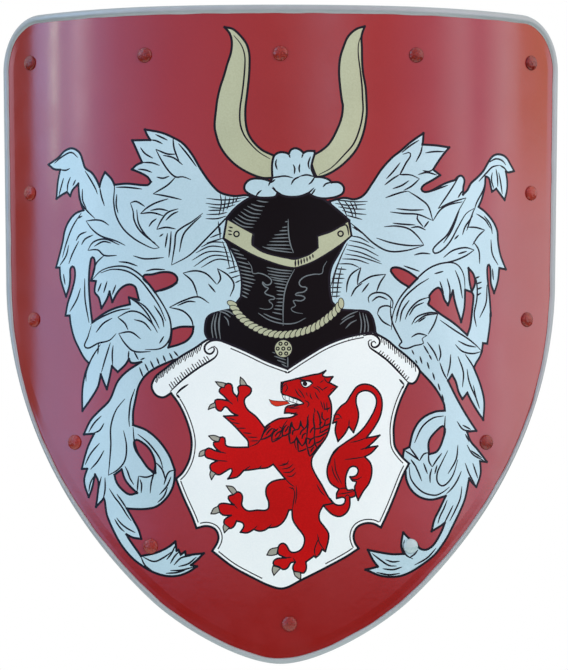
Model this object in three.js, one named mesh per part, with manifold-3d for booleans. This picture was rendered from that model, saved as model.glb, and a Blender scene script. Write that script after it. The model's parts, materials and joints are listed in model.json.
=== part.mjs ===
// A curved heater shield: a painted sheet in a bead rim, riveted to a leather lining,
// two cross bars that carry the arm straps, and a shoulder strap hung in two rings.
// Millimetres. +X is the right of the painted face, +Y points to its back, +Z is up.
// A place on the shield is (s, depth, z): s runs round the curve from the middle line,
// depth goes back from the painted face, and z is the height over the middle of the sheet.

import * as THREE from 'three';
import { mergeVertices } from 'three/addons/utils/BufferGeometryUtils.js';
import Module from 'manifold-3d';

const wasm = await Module();
wasm.setup();

// Driving dimensions

const clearance = 0.3;            // between pieces that lie on each other
const overrun = 2;                // how far a cutting tool stands out of what it cuts

// The shield over its rim, measured flat along the curve
const shield_width = 675;
const shield_height = 700;
const corner_radius = 58;
const middle_radius = 820;        // the gentle roll across the middle
const middle_half_width = 110;    // measured round the curve
const side_radius = 340;          // the tighter roll towards both sides

// The outline below the corner: [share of the half width, share of the height from the top]
const side_foot_shares = [0.985, 0.414];
const shoulder_handle_share = 0.2;
const flank_shares = [[0.649, 0.808], [0.406, 0.9086], [0.309, 0.948]];
const tip_handle_share = 0.12;

// The sheet, its rim and its lining
const sheet_thickness = 1.6;
const border_step = 1.5;          // the border lies this far behind the painted field
const rim_width = 10;
const rim_depth = 9.4;
const rim_wall = 1.2;
const border_width = 9;           // the sloping band between the rim and the field
const lining_inset = 4;           // from the painted field's edge
const lining_thickness = 2.5;

// Face rivets
const head_radius = 8;
const head_height = 4.2;
const head_edge = 0.7;
const shank_radius = 3;
const burr_radius = 7.5;
const burr_thickness = 1.2;
const tail_radius = 5;
const tail_height = 2.4;
const top_row_drop = 52;          // from the top edge
const rivet_inset = 42.5;         // the other rivets, square to the edge
const upper_arm_row = 155;        // heights of the two rows that hold the cross bars
const lower_arm_row = 16;
const arm_rows = [upper_arm_row, lower_arm_row];
const lower_row_shares = [0.667, 0.823];  // of the height, from the top: hip and flank
const tip_rivet_rise = 43;        // from the tip
const tip_rivet_aside = 9.5;      // the tip rivet was set off the middle line

// Cross bars
const bar_height = 30;
const bar_thickness = 3;
const bar_flat = 60;              // the flat stretch in the middle

// Arm pad
const pad_length = 290;
const pad_height = 92;
const pad_edge = 6;
const pad_crown = 16;
const pad_drawn_in = 4;
const pad_channels = 4;
const pad_channel_depth = 5;
const pad_centre = 20;            // round the curve from the middle line

// Arm straps, riveted to both bars, each set in from its end of the pad
const elbow_inset = 40;
const grip_inset = 30;
const elbow_s = pad_centre + pad_length / 2 - elbow_inset;
const grip_s = pad_centre - pad_length / 2 + grip_inset;
const elbow_strap = { s: elbow_s, width: 44, thickness: 3, rise: 95, rivets: 2 };
const grip_strap = { s: grip_s, width: 28, thickness: 4.5, rise: 54, rivets: 1 };
const strap_rivet_pitch = 24;
const strap_end = 14;             // from a rivet to the strap's end
const strap_shank_radius = 2.2;
const strap_head_radius = 4.7;
const strap_head_depth = 2.4;
const strap_tail_radius = 5;
const strap_tail_height = 2;

// Lugs and rings of the shoulder strap
const lug_thickness = 3;
const lug_height = 24;
const lug_inner_reach = 19;       // from the rivet to the bend
const lug_outer_reach = 13;
const lug_eye_margin = 7;         // from the eye's centre to the lug's end
const eye_standoff = 11;          // from the foot's hind corner back to the eye's centre
const eye_clearance = 0.5;
const ring_wire_radius = 2.5;
const ring_drop = 22;             // between the ring's two bars
const ring_corner = 5;

// Shoulder strap and its buckle
const guige_width = 28;
const guige_thickness = 3;
const ring_play = 2;              // each side of the strap inside a ring or buckle
const buckle_hang = 80;           // from a ring's lower bar to the buckle's heel bar
const buckle_length = 30;         // from heel bar to tip bar
const buckle_wire_radius = 2.2;
const fold_length = 14;           // where the two plies of a fold have come together
const return_ply = 55;            // the short ply of the long strap's fold
const ply_gap = 2;                // between the ends of the buckle strap
const tongue_length = 52;         // past the heel bar
const keeper_rise = 26;           // from the heel bar
const keeper_height = 10;
const keeper_wall = 2;
const prong_width = 4;
const prong_thickness = 2;
const prong_overhang = 3;
const slot_side_play = 0.8;
const prong_slot = [3, 20];       // from the heel bar, measured down the strap
const hole_radius = 2.2;
const hole_pitch = 22;
const spare_holes = 3;
const guige_straight_left = 70;   // below the left ring
const guige_straight_right = 195; // below the right ring
const guige_slack = 405;          // how hard the hanging loop is drawn down
const twist_share = 0.36;         // of the loop, at each end

// Steps of curves
const column_step = 17;
const column_least = 4;
const column_least_at_side = 1;
const weld_distance = 0.0003;
const steps = {
  corner: 6, side: 3, flank: 11, tip: 7, wire: 8, bend: 3, round: 12, fold: 6, loop: 9, free: 40,
  pad_long: 32, pad_high: 10,
};
const dome_shares = [0.7, 0.45, 0.2, 0];      // of a quarter turn
const bar_round_shares = [0.5, 0.85, 0.98];   // of a bar's rounded end

// Materials

const material = (color, roughness, metalness) =>
  new THREE.MeshStandardMaterial({ color, roughness, metalness, flatShading: true });
const red_paint = material(0x8c1c18, 0.18, 0.1);
const silver_paint = material(0xa9b4bc, 0.35, 0.1);
const grey_steel = material(0x9aa6a8, 0.4, 0.8);
const forged_iron = material(0x55585c, 0.55, 0.85);
const brass = material(0xb08a45, 0.35, 0.9);
const lining_leather = material(0x7a5636, 0.85, 0);
const strap_leather = material(0x4a2d1b, 0.6, 0);
const pad_leather = material(0x6b4528, 0.7, 0);

// Shapes from points

const vector = (x, y, z) => new THREE.Vector3(x, y, z);

function closedGeometry(triangles) {
  const positions = triangles.flatMap((p) => [p.x, p.y, p.z]);
  const loose = new THREE.BufferGeometry();
  loose.setAttribute('position', new THREE.Float32BufferAttribute(positions, 3));
  return tidy(loose);
}

function tidy(source) {
  const bare = source.clone();
  bare.deleteAttribute('normal');
  bare.deleteAttribute('uv');
  const merged = mergeVertices(bare, weld_distance);
  const index = merged.index.array;
  const kept = [];
  for (let i = 0; i < index.length; i += 3) {
    const [a, b, c] = [index[i], index[i + 1], index[i + 2]];
    if (a !== b && b !== c && c !== a) kept.push(a, b, c);
  }
  merged.setIndex(kept);
  return facingOut(merged);
}

function facingOut(geometry) {
  const p = geometry.attributes.position;
  const index = Array.from(geometry.index.array);
  const at = (i) => vector().fromBufferAttribute(p, i);
  let volume = 0;
  for (let i = 0; i < index.length; i += 3) {
    volume += at(index[i]).dot(at(index[i + 1]).cross(at(index[i + 2])));
  }
  if (volume < 0) {
    for (let i = 0; i < index.length; i += 3) [index[i], index[i + 1]] = [index[i + 1], index[i]];
    geometry.setIndex(index);
  }
  geometry.computeVertexNormals();
  return geometry;
}

function quad(list, a, b, c, d) {
  list.push(a, b, c, a, c, d);
}

// Joins rings of points into a tube, closed on itself or with a cap at each end
function tube(rings, closed) {
  const list = [];
  const count = rings[0].length;
  const last = closed ? rings.length : rings.length - 1;
  for (let i = 0; i < last; i += 1) {
    const [near, far] = [rings[i], rings[(i + 1) % rings.length]];
    for (let k = 0; k < count; k += 1) {
      const next = (k + 1) % count;
      quad(list, near[k], near[next], far[next], far[k]);
    }
  }
  if (!closed) {
    const [first, end] = [rings[0], rings[rings.length - 1]];
    for (let k = 1; k < count - 1; k += 1) {
      list.push(first[0], first[k + 1], first[k], end[0], end[k], end[k + 1]);
    }
  }
  return closedGeometry(list);
}

function solid(geometry) {
  const clean = tidy(geometry);
  return new wasm.Manifold(new wasm.Mesh({
    numProp: 3,
    vertProperties: Float32Array.from(clean.attributes.position.array),
    triVerts: Uint32Array.from(clean.index.array),
  }));
}

function cut(geometry, tools) {
  let body = solid(geometry);
  for (const tool of tools) body = body.subtract(solid(tool));
  const mesh = body.getMesh();
  const result = new THREE.BufferGeometry();
  result.setAttribute('position', new THREE.Float32BufferAttribute(mesh.vertProperties, 3));
  result.setIndex(Array.from(mesh.triVerts));
  result.computeVertexNormals();
  return result;
}

const turned = (profile, sides = steps.round) =>
  new THREE.LatheGeometry(profile.map(([r, y]) => new THREE.Vector2(r, y)), sides);

const rod = (radius, length, sides = steps.round) =>
  new THREE.CylinderGeometry(radius, radius, length, sides);

// A flat outline given as [down, back] points, made as wide as the piece along X
function sideways(shape, width) {
  const body = new THREE.ExtrudeGeometry(shape, {
    depth: width, bevelEnabled: false, curveSegments: steps.fold,
  });
  return body.translate(0, 0, -width / 2).rotateY(Math.PI / 2);
}

// The shield's curve and outline

const middle_angle = middle_half_width / middle_radius;

function plan(s) {
  const run = Math.abs(s);
  const side = Math.sign(s);
  if (run <= middle_half_width) {
    const turn = run / middle_radius;
    return {
      x: side * middle_radius * Math.sin(turn),
      y: middle_radius * (1 - Math.cos(turn)),
      angle: side * turn,
    };
  }
  const turn = middle_angle + (run - middle_half_width) / side_radius;
  const shift = (middle_radius - side_radius) * Math.sin(middle_angle);
  return {
    x: side * (shift + side_radius * Math.sin(turn)),
    y: middle_radius - (middle_radius - side_radius) * Math.cos(middle_angle) - side_radius * Math.cos(turn),
    angle: side * turn,
  };
}

function place(s, depth, z) {
  const { x, y, angle } = plan(s);
  return vector(x - depth * Math.sin(angle), y + depth * Math.cos(angle), z);
}

const half_width = shield_width / 2;
const top = shield_height / 2;
const outlinePoint = ([across, down]) => [across * half_width, top - down * shield_height];

function halfOutline() {
  const [foot_s, foot_z] = outlinePoint(side_foot_shares);
  const [before, joint, after] = flank_shares.map(outlinePoint);
  const line = new THREE.Path();
  line.moveTo(0, top);
  line.lineTo(half_width - corner_radius, top);
  line.absarc(half_width - corner_radius, top - corner_radius, corner_radius, Math.PI / 2, 0, true);
  line.lineTo(foot_s, foot_z);
  line.bezierCurveTo(foot_s, foot_z - shoulder_handle_share * shield_height, ...before, ...joint);
  line.bezierCurveTo(...after, tip_handle_share * half_width, -top, 0, -top);
  const counts = [Math.ceil(half_width / column_step), steps.corner, steps.side, steps.flank, steps.tip];
  const points = [];
  line.curves.forEach((curve, n) => {
    const last = n === line.curves.length - 1 ? 1 : 0;
    for (let i = 0; i < counts[n] + last; i += 1) {
      const at = curve.getPoint(i / counts[n]);
      const along = curve.getTangent(i / counts[n]);
      points.push({ s: at.x, z: at.y, ns: -along.y, nz: along.x });
    }
  });
  return points;
}

const outline = halfOutline();
const side_index = outline.reduce((best, p, i) => (p.s > outline[best].s ? i : best), 0);

function onOutline(u, inset) {
  const i = Math.min(Math.floor(u), outline.length - 2);
  const [a, b, f] = [outline[i], outline[i + 1], u - i];
  const mix = (key) => a[key] + (b[key] - a[key]) * f;
  return { s: mix('s') - mix('ns') * inset, z: mix('z') - mix('nz') * inset };
}

// Where the outline, drawn in by the inset, passes s between two of its points
function outlineAt(s, inset, from, to) {
  const way = Math.sign(to - from);
  for (let i = from; i !== to; i += way) {
    const [a, b] = [onOutline(i, inset).s, onOutline(i + way, inset).s];
    if ((s - a) * (s - b) <= 0 && a !== b) return i + (way * (s - a)) / (b - a);
  }
  return to;
}

// Columns from the middle to the side, where a sheet bends or its outline turns
function columnsOf(inset) {
  const reach = onOutline(side_index, inset).s;
  const all = outline.map((_, i) => onOutline(i, inset).s).sort((a, b) => a - b);
  const kept = [0];
  for (const s of all) {
    const least = reach - s < corner_radius / 2 ? column_least_at_side : column_least;
    if (s - kept[kept.length - 1] > least && reach - s > least) kept.push(s);
  }
  return [...kept, reach];
}

// A curved sheet of even thickness, in bands that follow the outline
function curvedSheet(bands, thickness) {
  const inner = bands[bands.length - 1].inset;
  const last = outline.length - 1;
  const half = columnsOf(inner).map((s) => ({
    s, high: outlineAt(s, inner, 0, side_index), low: outlineAt(s, inner, last, side_index),
  }));
  half[half.length - 1].high = side_index;
  half[half.length - 1].low = side_index;
  const column = ({ high, low }, side, extra) => {
    const spot = (u) => ({ inset, depth }) => {
      const p = onOutline(u, inset);
      return place(side * p.s, depth + extra, p.z);
    };
    return [...bands.map(spot(high)), ...bands.map(spot(low)).reverse()];
  };
  const columns = (extra) => [
    ...half.slice(1).reverse().map((c) => column(c, -1, extra)),
    ...half.map((c) => column(c, 1, extra)),
  ];
  const [front, back] = [columns(0), columns(thickness)];
  const list = [];
  const final = front[0].length - 1;
  for (let i = 0; i < front.length - 1; i += 1) {
    for (let k = 0; k < final; k += 1) {
      quad(list, front[i][k], front[i][k + 1], front[i + 1][k + 1], front[i + 1][k]);
      quad(list, back[i][k], back[i + 1][k], back[i + 1][k + 1], back[i][k + 1]);
    }
    quad(list, front[i][0], front[i + 1][0], back[i + 1][0], back[i][0]);
    quad(list, front[i][final], back[i][final], back[i + 1][final], front[i + 1][final]);
  }
  return closedGeometry(list);
}

// Sets a piece made round its own Y axis square on the shield
function onShield(geometry, s, z, depth = 0) {
  const { angle } = plan(s);
  const at = place(s, depth, z);
  return geometry.clone().rotateZ(angle).translate(at.x, at.y, at.z);
}

// Depths of the layers, from the painted face back

const field_back = sheet_thickness;
const lining_front = field_back + clearance;
const lining_back = lining_front + lining_thickness;
const bar_front = lining_back + clearance;
const bar_back = bar_front + bar_thickness;
const lug_reach = Math.max(lug_inner_reach, lug_outer_reach);
const lug_front = lining_back + clearance + lug_reach ** 2 / (2 * side_radius);
const lug_back = lug_front + lug_thickness;

const sheet_inset = rim_wall + clearance + clearance / 2;
const field_inset = rim_width + border_width;
const lining_edge_inset = field_inset + lining_inset;

// The sheet, the lining and the rim

// Where the row of rivets along the edge passes a height below the corner
function edgeRivet(z) {
  for (let i = side_index; i < outline.length - 1; i += 1) {
    const [a, b] = [onOutline(i, rivet_inset), onOutline(i + 1, rivet_inset)];
    if ((z - a.z) * (z - b.z) <= 0) return a.s + ((b.s - a.s) * (z - a.z)) / (b.z - a.z);
  }
  return 0;
}

const top_row_z = top - top_row_drop;
const corner_rivet_s = edgeRivet(arm_rows[0]);
const [hip_z, flank_z] = lower_row_shares.map((share) => top - share * shield_height);
const tip_rivet_z = -top + tip_rivet_rise;

const layers = {
  lining: lining_back,
  bar: bar_back,
  lug: lug_back,
};

function faceRivets() {
  const list = [
    { name: 'top_3', s: 0, z: top_row_z, on: 'lining' },
    { name: 'tip', s: tip_rivet_aside, z: tip_rivet_z, on: 'lining' },
  ];
  for (const [word, side] of [['left', -1], ['right', 1]]) {
    const far = side < 0 ? 1 : 5;
    const near = side < 0 ? 2 : 4;
    list.push(
      { name: `top_${far}`, s: side * corner_rivet_s, z: top_row_z, on: 'lug' },
      { name: `top_${near}`, s: (side * corner_rivet_s) / 2, z: top_row_z, on: 'lining' },
      { name: `${word}_upper`, s: side * edgeRivet(arm_rows[0]), z: arm_rows[0], on: 'bar' },
      { name: `${word}_lower`, s: side * edgeRivet(arm_rows[1]), z: arm_rows[1], on: 'bar' },
      { name: `${word}_hip`, s: side * edgeRivet(hip_z), z: hip_z, on: 'lining' },
      { name: `${word}_flank`, s: side * edgeRivet(flank_z), z: flank_z, on: 'lining' },
    );
  }
  return list;
}

const rivets = faceRivets();
const rivetTools = () => rivets.map(({ s, z }) =>
  onShield(rod(shank_radius + clearance, 2 * (lug_back + overrun)), s, z));

function shieldSheet() {
  const bands = [
    { inset: sheet_inset, depth: border_step },
    { inset: rim_width + clearance, depth: border_step },
    { inset: field_inset, depth: 0 },
  ];
  return cut(curvedSheet(bands, sheet_thickness), rivetTools());
}

function lining() {
  const bands = [{ inset: lining_edge_inset, depth: lining_front }];
  return cut(curvedSheet(bands, lining_thickness), rivetTools());
}

// The rim's section is a C with its lips on both faces of the sheet
function rimSection() {
  const middle = border_step + sheet_thickness / 2;
  const lip = sheet_thickness / 2 + clearance;
  const arc = (across, through) => {
    const from = Math.asin(lip / through);
    return Array.from({ length: steps.wire }, (_, i) => {
      const turn = from + ((2 * Math.PI - 2 * from) * i) / (steps.wire - 1);
      return { inset: rim_width / 2 + across * Math.cos(turn), depth: middle - through * Math.sin(turn) };
    });
  };
  const outer = arc(rim_width / 2, rim_depth / 2);
  const inner = arc(rim_width / 2 - rim_wall, rim_depth / 2 - rim_wall);
  return [...outer, ...inner.reverse()];
}

function rimBinding() {
  const section = rimSection();
  const ring = (i, side) => section.map(({ inset, depth }) => {
    const p = onOutline(i, inset);
    return place(side * p.s, depth, p.z);
  });
  const last = outline.length - 1;
  const right = outline.map((_, i) => ring(i, 1));
  const left = outline.map((_, i) => ring(last - i, -1)).slice(1, -1);
  return tube([...right, ...left], true);
}

// Rivets, each drawn with its painted side towards -Y

function domedRivet(grip) {
  const seat = -clearance;
  const tail = grip + 2 * clearance + burr_thickness;
  const dome = (turn) => [
    head_radius * Math.cos(turn), seat - head_edge - (head_height - head_edge) * Math.sin(turn),
  ];
  return turned([
    [0, seat - head_height],
    ...dome_shares.map((share) => dome((share * Math.PI) / 2)),
    [head_radius, seat],
    [shank_radius, seat],
    [shank_radius, tail],
    [tail_radius, tail],
    [tail_radius * Math.SQRT1_2, tail + tail_height * Math.SQRT1_2],
    [0, tail + tail_height],
  ]);
}

function burr(grip) {
  const [inner, from] = [shank_radius + clearance, grip + clearance];
  const upto = from + burr_thickness;
  return turned([[inner, from], [burr_radius, from], [burr_radius, upto], [inner, upto], [inner, from]]);
}

// Cross bars, flat where a strap or a fixture seats on them

const bar_end = bar_height / 2;
const strap_seats = [elbow_strap, grip_strap].map(({ s, width }) => ({ s, half: width / 2 + overrun }));

function barColumns(rivet_s) {
  const flats = [{ s: 0, half: bar_flat / 2 }, ...strap_seats];
  const reach = rivet_s + bar_end;
  const inFlat = (s) => flats.some((flat) => Math.abs(s - flat.s) < flat.half + column_least);
  const list = flats.flatMap(({ s, half }) => [s - half, s + half]);
  const count = Math.ceil(rivet_s / column_step);
  for (let i = -count; i <= count; i += 1) {
    const s = (rivet_s * i) / count;
    if (!inFlat(s)) list.push(s);
  }
  for (const share of bar_round_shares) {
    list.push(rivet_s + bar_end * share, -rivet_s - bar_end * share);
  }
  return list.filter((s) => Math.abs(s) < reach).sort((a, b) => a - b);
}

function crossBar(z) {
  const rivet_s = edgeRivet(z);
  const rings = barColumns(rivet_s).map((s) => {
    const past = Math.max(0, Math.abs(s) - rivet_s) / bar_end;
    const half = bar_end * Math.sqrt(1 - past ** 2);
    return [
      place(s, bar_front, z - half), place(s, bar_front, z + half),
      place(s, bar_back, z + half), place(s, bar_back, z - half),
    ];
  });
  const tools = [-1, 1].map((side) =>
    onShield(rod(shank_radius + clearance, 2 * (bar_back + overrun)), side * rivet_s, z));
  return cut(tube(rings, false), [...tools, ...strapSeatTools(z)]);
}

// A strap's seat is the bar's flat chord: its middle, and how far it is turned
function seatOn(s, half, depth) {
  const [a, b] = [place(s - half, depth, 0), place(s + half, depth, 0)];
  return { at: a.clone().add(b).multiplyScalar(0.5), angle: Math.atan2(b.y - a.y, b.x - a.x) };
}

const straps = { elbow: elbow_strap, grip: grip_strap };
const strapSeat = ({ s, width }) => seatOn(s, width / 2 + overrun, bar_back);
const rivetSpots = ({ rivets: count }) =>
  Array.from({ length: count }, (_, i) => (i - (count - 1) / 2) * strap_rivet_pitch);

function onSeat(geometry, strap, across, z) {
  const { at, angle } = strapSeat(strap);
  return geometry.clone().translate(across, 0, 0).rotateZ(angle).translate(at.x, at.y, z);
}

const strap_hole_radius = strap_shank_radius + clearance;

function strapSeatTools(z) {
  const front = -bar_thickness;
  const countersink = turned([
    [0, front - overrun],
    [strap_head_radius + clearance, front - overrun],
    [strap_head_radius + clearance, front],
    [strap_hole_radius, front + strap_head_depth],
    [strap_hole_radius, overrun],
    [0, overrun],
  ]);
  return Object.values(straps).flatMap((strap) =>
    rivetSpots(strap).map((across) => onSeat(countersink, strap, across, z)));
}

function strapRivet({ thickness }) {
  const front = -bar_thickness;
  const tail = thickness + 2 * clearance;
  return turned([
    [0, front],
    [strap_head_radius, front],
    [strap_shank_radius, front + strap_head_depth],
    [strap_shank_radius, tail],
    [strap_tail_radius, tail],
    [strap_tail_radius * Math.SQRT1_2, tail + strap_tail_height * Math.SQRT1_2],
    [0, tail + strap_tail_height],
  ]);
}

// A flat strap along a path of { at, wide }: its middle and the direction of its width
function ribbon(path, width, thickness) {
  const rings = path.map(({ at, wide }, i) => {
    const next = path[Math.min(i + 1, path.length - 1)].at;
    const back = path[Math.max(i - 1, 0)].at;
    const along = next.clone().sub(back).normalize();
    const face = wide.clone().cross(along).normalize();
    const corner = (w, f) => at.clone()
      .addScaledVector(wide, (w * width) / 2).addScaledVector(face, (f * thickness) / 2);
    return [corner(-1, -1), corner(1, -1), corner(1, 1), corner(-1, 1)];
  });
  return tube(rings, false);
}

const half_span = (arm_rows[0] - arm_rows[1]) / 2;
const arm_middle = (arm_rows[0] + arm_rows[1]) / 2;

// An arm strap stands off both bars in an arch. Its own frame sits on the seat, Y pointing back.
function armStrap({ width, thickness, rise, rivets: count }) {
  const flat = clearance + thickness / 2;
  const lift = half_span - bar_height / 2 + thickness;
  const crown = rise + thickness / 2;
  const half = new THREE.CubicBezierCurve3(
    vector(0, flat, lift), vector(0, flat, lift / 2),
    vector(0, crown, lift), vector(0, crown, 0),
  );
  const upper = [vector(0, flat, half_span + strap_end), vector(0, flat, half_span)];
  for (let i = 0; i < steps.loop; i += 1) upper.push(half.getPoint(i / steps.loop));
  const lower = upper.map((p) => vector(p.x, p.y, -p.z)).reverse();
  const path = [...upper, vector(0, crown, 0), ...lower]
    .map((at) => ({ at, wide: vector(1, 0, 0) }));
  const tools = rivetSpots({ rivets: count }).flatMap((across) => [half_span, -half_span].map((z) =>
    rod(strap_hole_radius, 2 * (flat + thickness)).translate(across, 0, z)));
  return cut(ribbon(path, width, thickness), tools);
}

// The arm pad is a stuffed cushion on the lining, with sewn channels across it
function armPad() {
  const [long, high] = [steps.pad_long, steps.pad_high];
  const at = (i, k, side) => {
    const [u, v] = [(2 * i) / long - 1, (2 * k) / high - 1];
    const s = pad_centre + u * (pad_length / 2 - pad_drawn_in * (1 - v ** 2));
    const z = arm_middle + v * (pad_height / 2 - pad_drawn_in * (1 - u ** 2));
    const swell = Math.sqrt((1 - u ** 4) * (1 - v ** 4));
    const wave = Math.abs(Math.cos((Math.PI * (u + 1) * (pad_channels + 1)) / 2));
    const seam = pad_channel_depth * swell * wave ** 4;
    return place(s, bar_front + side * (pad_edge + pad_crown * swell - seam), z);
  };
  const list = [];
  for (let i = 0; i < long; i += 1) {
    for (let k = 0; k < high; k += 1) {
      const corners = (side) => [at(i, k, side), at(i + 1, k, side), at(i + 1, k + 1, side), at(i, k + 1, side)];
      quad(list, ...corners(0));
      quad(list, ...corners(1).reverse());
    }
    quad(list, at(i, 0, 0), at(i, 0, 1), at(i + 1, 0, 1), at(i + 1, 0, 0));
    quad(list, at(i, high, 0), at(i + 1, high, 0), at(i + 1, high, 1), at(i, high, 1));
  }
  for (let k = 0; k < high; k += 1) {
    quad(list, at(0, k, 0), at(0, k + 1, 0), at(0, k + 1, 1), at(0, k, 1));
    quad(list, at(long, k, 0), at(long, k, 1), at(long, k + 1, 1), at(long, k + 1, 0));
  }
  return closedGeometry(list);
}

// Lugs: a foot under the corner rivet, bent so that the eye faces straight across

const eye_radius = ring_wire_radius + eye_clearance;
const lug_foot = place(corner_rivet_s, lug_front, 0);
const { angle: lug_turn } = plan(corner_rivet_s);
const lug_along = vector(Math.cos(lug_turn), Math.sin(lug_turn), 0);
const lug_bend = lug_foot.clone().addScaledVector(lug_along, -lug_inner_reach);
const lug_outer = lug_foot.clone().addScaledVector(lug_along, lug_outer_reach);
const lug_hind = lug_outer.clone().addScaledVector(vector(-lug_along.y, lug_along.x, 0), lug_thickness);
const lug_x = lug_bend.x + lug_thickness / 2;
const eye_depth = lug_hind.y + eye_standoff;

function lug(side) {
  const inner_x = lug_bend.x + lug_thickness;
  const inner_y = lug_hind.y + (inner_x - lug_hind.x) * Math.tan(lug_turn);
  const end = eye_depth + lug_eye_margin;
  const points = [
    [lug_bend.x, lug_bend.y], [lug_outer.x, lug_outer.y], [lug_hind.x, lug_hind.y],
    [inner_x, inner_y], [inner_x, end], [lug_bend.x, end],
  ];
  const shape = new THREE.Shape(points.map(([x, y]) => new THREE.Vector2(side * x, y)));
  const body = new THREE.ExtrudeGeometry(shape, { depth: lug_height, bevelEnabled: false })
    .translate(0, 0, top_row_z - lug_height / 2);
  const eye = rod(eye_radius, 2 * (lug_thickness + overrun)).rotateZ(Math.PI / 2)
    .translate(side * lug_x, eye_depth, top_row_z);
  const shank_hole = rod(shank_radius + clearance, 2 * (lug_back + overrun));
  const hole = onShield(shank_hole, side * corner_rivet_s, top_row_z);
  return cut(body, [eye, hole]);
}

// A loop of round wire in the XZ plane, hanging from the middle of its upper bar
function wireLoop(across, drop, corner, radius) {
  const [half, low] = [across / 2 - corner, drop - corner];
  const corners = [
    [half, -corner, Math.PI / 2, 0], [half, -low, 0, -Math.PI / 2],
    [-half, -low, -Math.PI / 2, -Math.PI], [-half, -corner, -Math.PI, -1.5 * Math.PI],
  ];
  const rings = corners.flatMap(([x, z, from, to]) =>
    Array.from({ length: steps.bend + 1 }, (_, i) => {
      const turn = from + ((to - from) * i) / steps.bend;
      const out = vector(Math.cos(turn), 0, Math.sin(turn));
      const at = vector(x, 0, z).addScaledVector(out, corner);
      return Array.from({ length: steps.wire }, (_, k) => {
        const round = (2 * Math.PI * k) / steps.wire;
        return at.clone().addScaledVector(out, radius * Math.cos(round))
          .add(vector(0, radius * Math.sin(round), 0));
      });
    }));
  return tube(rings, true);
}

const loopWidth = (wire) => guige_width + 2 * (ring_play + wire);

// The shoulder strap. Its paths are drawn in (back, down) from a ring's lower bar.

const ply = guige_thickness / 2 + clearance / 2;
const foldRadius = (wire) => wire + clearance + guige_thickness / 2;

// Half a turn round a bar that lies `down` below the ring, over it or under it
function fold(wire, down, over) {
  const radius = foldRadius(wire);
  return Array.from({ length: steps.fold + 1 }, (_, i) => {
    const turn = Math.PI - (Math.PI * i) / steps.fold;
    const way = over ? 1 : -1;
    return [way * radius * Math.cos(turn), down - way * radius * Math.sin(turn)];
  });
}

const across = (x, wide) => ([back, down]) => ({
  at: vector(x, eye_depth + back, ring_z - down), wide: vector(wide, 0, 0),
});
const ring_z = top_row_z - ring_drop;
const heel_z = ring_z - buckle_hang;

function buckleStrap() {
  const butt = buckle_hang / 2;
  const path = [
    [-ply, butt - ply_gap / 2], [-ply, fold_length],
    ...fold(ring_wire_radius, 0, true),
    [ply, fold_length], [ply, buckle_hang - fold_length],
    ...fold(buckle_wire_radius, buckle_hang, false),
    [-ply, buckle_hang - fold_length], [-ply, butt + ply_gap / 2],
  ];
  const slot = new THREE.BoxGeometry(
    prong_width + 2 * slot_side_play, 4 * foldRadius(buckle_wire_radius), 2 * (fold_length - overrun),
  ).translate(lug_x, eye_depth, heel_z);
  return cut(ribbon(path.map(across(lug_x, 1)), guige_width, guige_thickness), [slot]);
}

// The hanging loop between the rings: its ends lie flat across the shield, and it
// turns edge on between them, as a strap does when it hangs
function hangingLoop() {
  const start = vector(-lug_x, eye_depth + ply, ring_z - guige_straight_left);
  const under = foldRadius(buckle_wire_radius);
  const end = vector(lug_x, eye_depth - under, ring_z - guige_straight_right);
  const pull = vector(0, 0, -guige_slack);
  const curve = new THREE.CubicBezierCurve3(start, start.clone().add(pull), end.clone().add(pull), end);
  const ease = (t) => t * t * (3 - 2 * t);
  return Array.from({ length: steps.free + 1 }, (_, i) => {
    const t = i / steps.free;
    const along = curve.getTangent(t);
    const flat = along.clone().cross(vector(0, 1, 0)).normalize();
    const turn = ease(Math.min(1, Math.min(t, 1 - t) / twist_share)) * (Math.PI / 2);
    const wide = flat.multiplyScalar(Math.cos(turn)).add(vector(0, Math.sin(turn), 0));
    wide.addScaledVector(along, -wide.dot(along)).normalize();
    return { at: curve.getPoint(t), wide };
  });
}

function longStrap() {
  const under = foldRadius(buckle_wire_radius);
  const over = under + guige_thickness + clearance;
  const heel = buckle_hang;
  const tip = heel + buckle_length;
  const left = [
    [-ply, return_ply], [-ply, fold_length],
    ...fold(ring_wire_radius, 0, true),
    [ply, fold_length],
  ].map(across(-lug_x, 1));
  const right = [
    [-under, tip + buckle_wire_radius],
    [-under, tip - overrun / 2],
    [over, heel + under], [over, heel - under],
    [ply + guige_thickness + clearance, heel - fold_length],
    [ply + guige_thickness + clearance, heel - tongue_length],
  ].map(across(lug_x, -1));
  const slot_length = prong_slot[1] - prong_slot[0];
  const slot = new THREE.BoxGeometry(prong_width + 2 * slot_side_play, 4 * over, slot_length)
    .translate(lug_x, eye_depth, heel_z - (prong_slot[0] + prong_slot[1]) / 2);
  const holes = Array.from({ length: spare_holes }, (_, i) => rod(hole_radius, 4 * over)
    .translate(lug_x, eye_depth, heel_z - buckle_length - hole_pitch * (i + 1)));
  const path = [...left, ...hangingLoop(), ...right];
  return cut(ribbon(path, guige_width, guige_thickness), [slot, ...holes]);
}

// The prong hangs on the heel bar and rests on the tip bar
function prong() {
  const bore = buckle_wire_radius + clearance;
  const eye = bore + prong_thickness;
  const end = buckle_length + buckle_wire_radius + prong_overhang;
  const meet = Math.sqrt(eye ** 2 - bore ** 2);
  const shape = new THREE.Shape();
  shape.moveTo(meet, bore);
  shape.lineTo(end, bore);
  shape.lineTo(end, bore + prong_thickness / 2);
  shape.lineTo(end - prong_thickness, eye);
  shape.lineTo(0, eye);
  shape.absarc(0, 0, eye, Math.PI / 2, 2 * Math.PI + Math.atan2(bore, meet), false);
  const hole = new THREE.Path();
  hole.absarc(0, 0, bore, 0, 2 * Math.PI, true);
  shape.holes.push(hole);
  return sideways(shape, prong_width);
}

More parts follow.
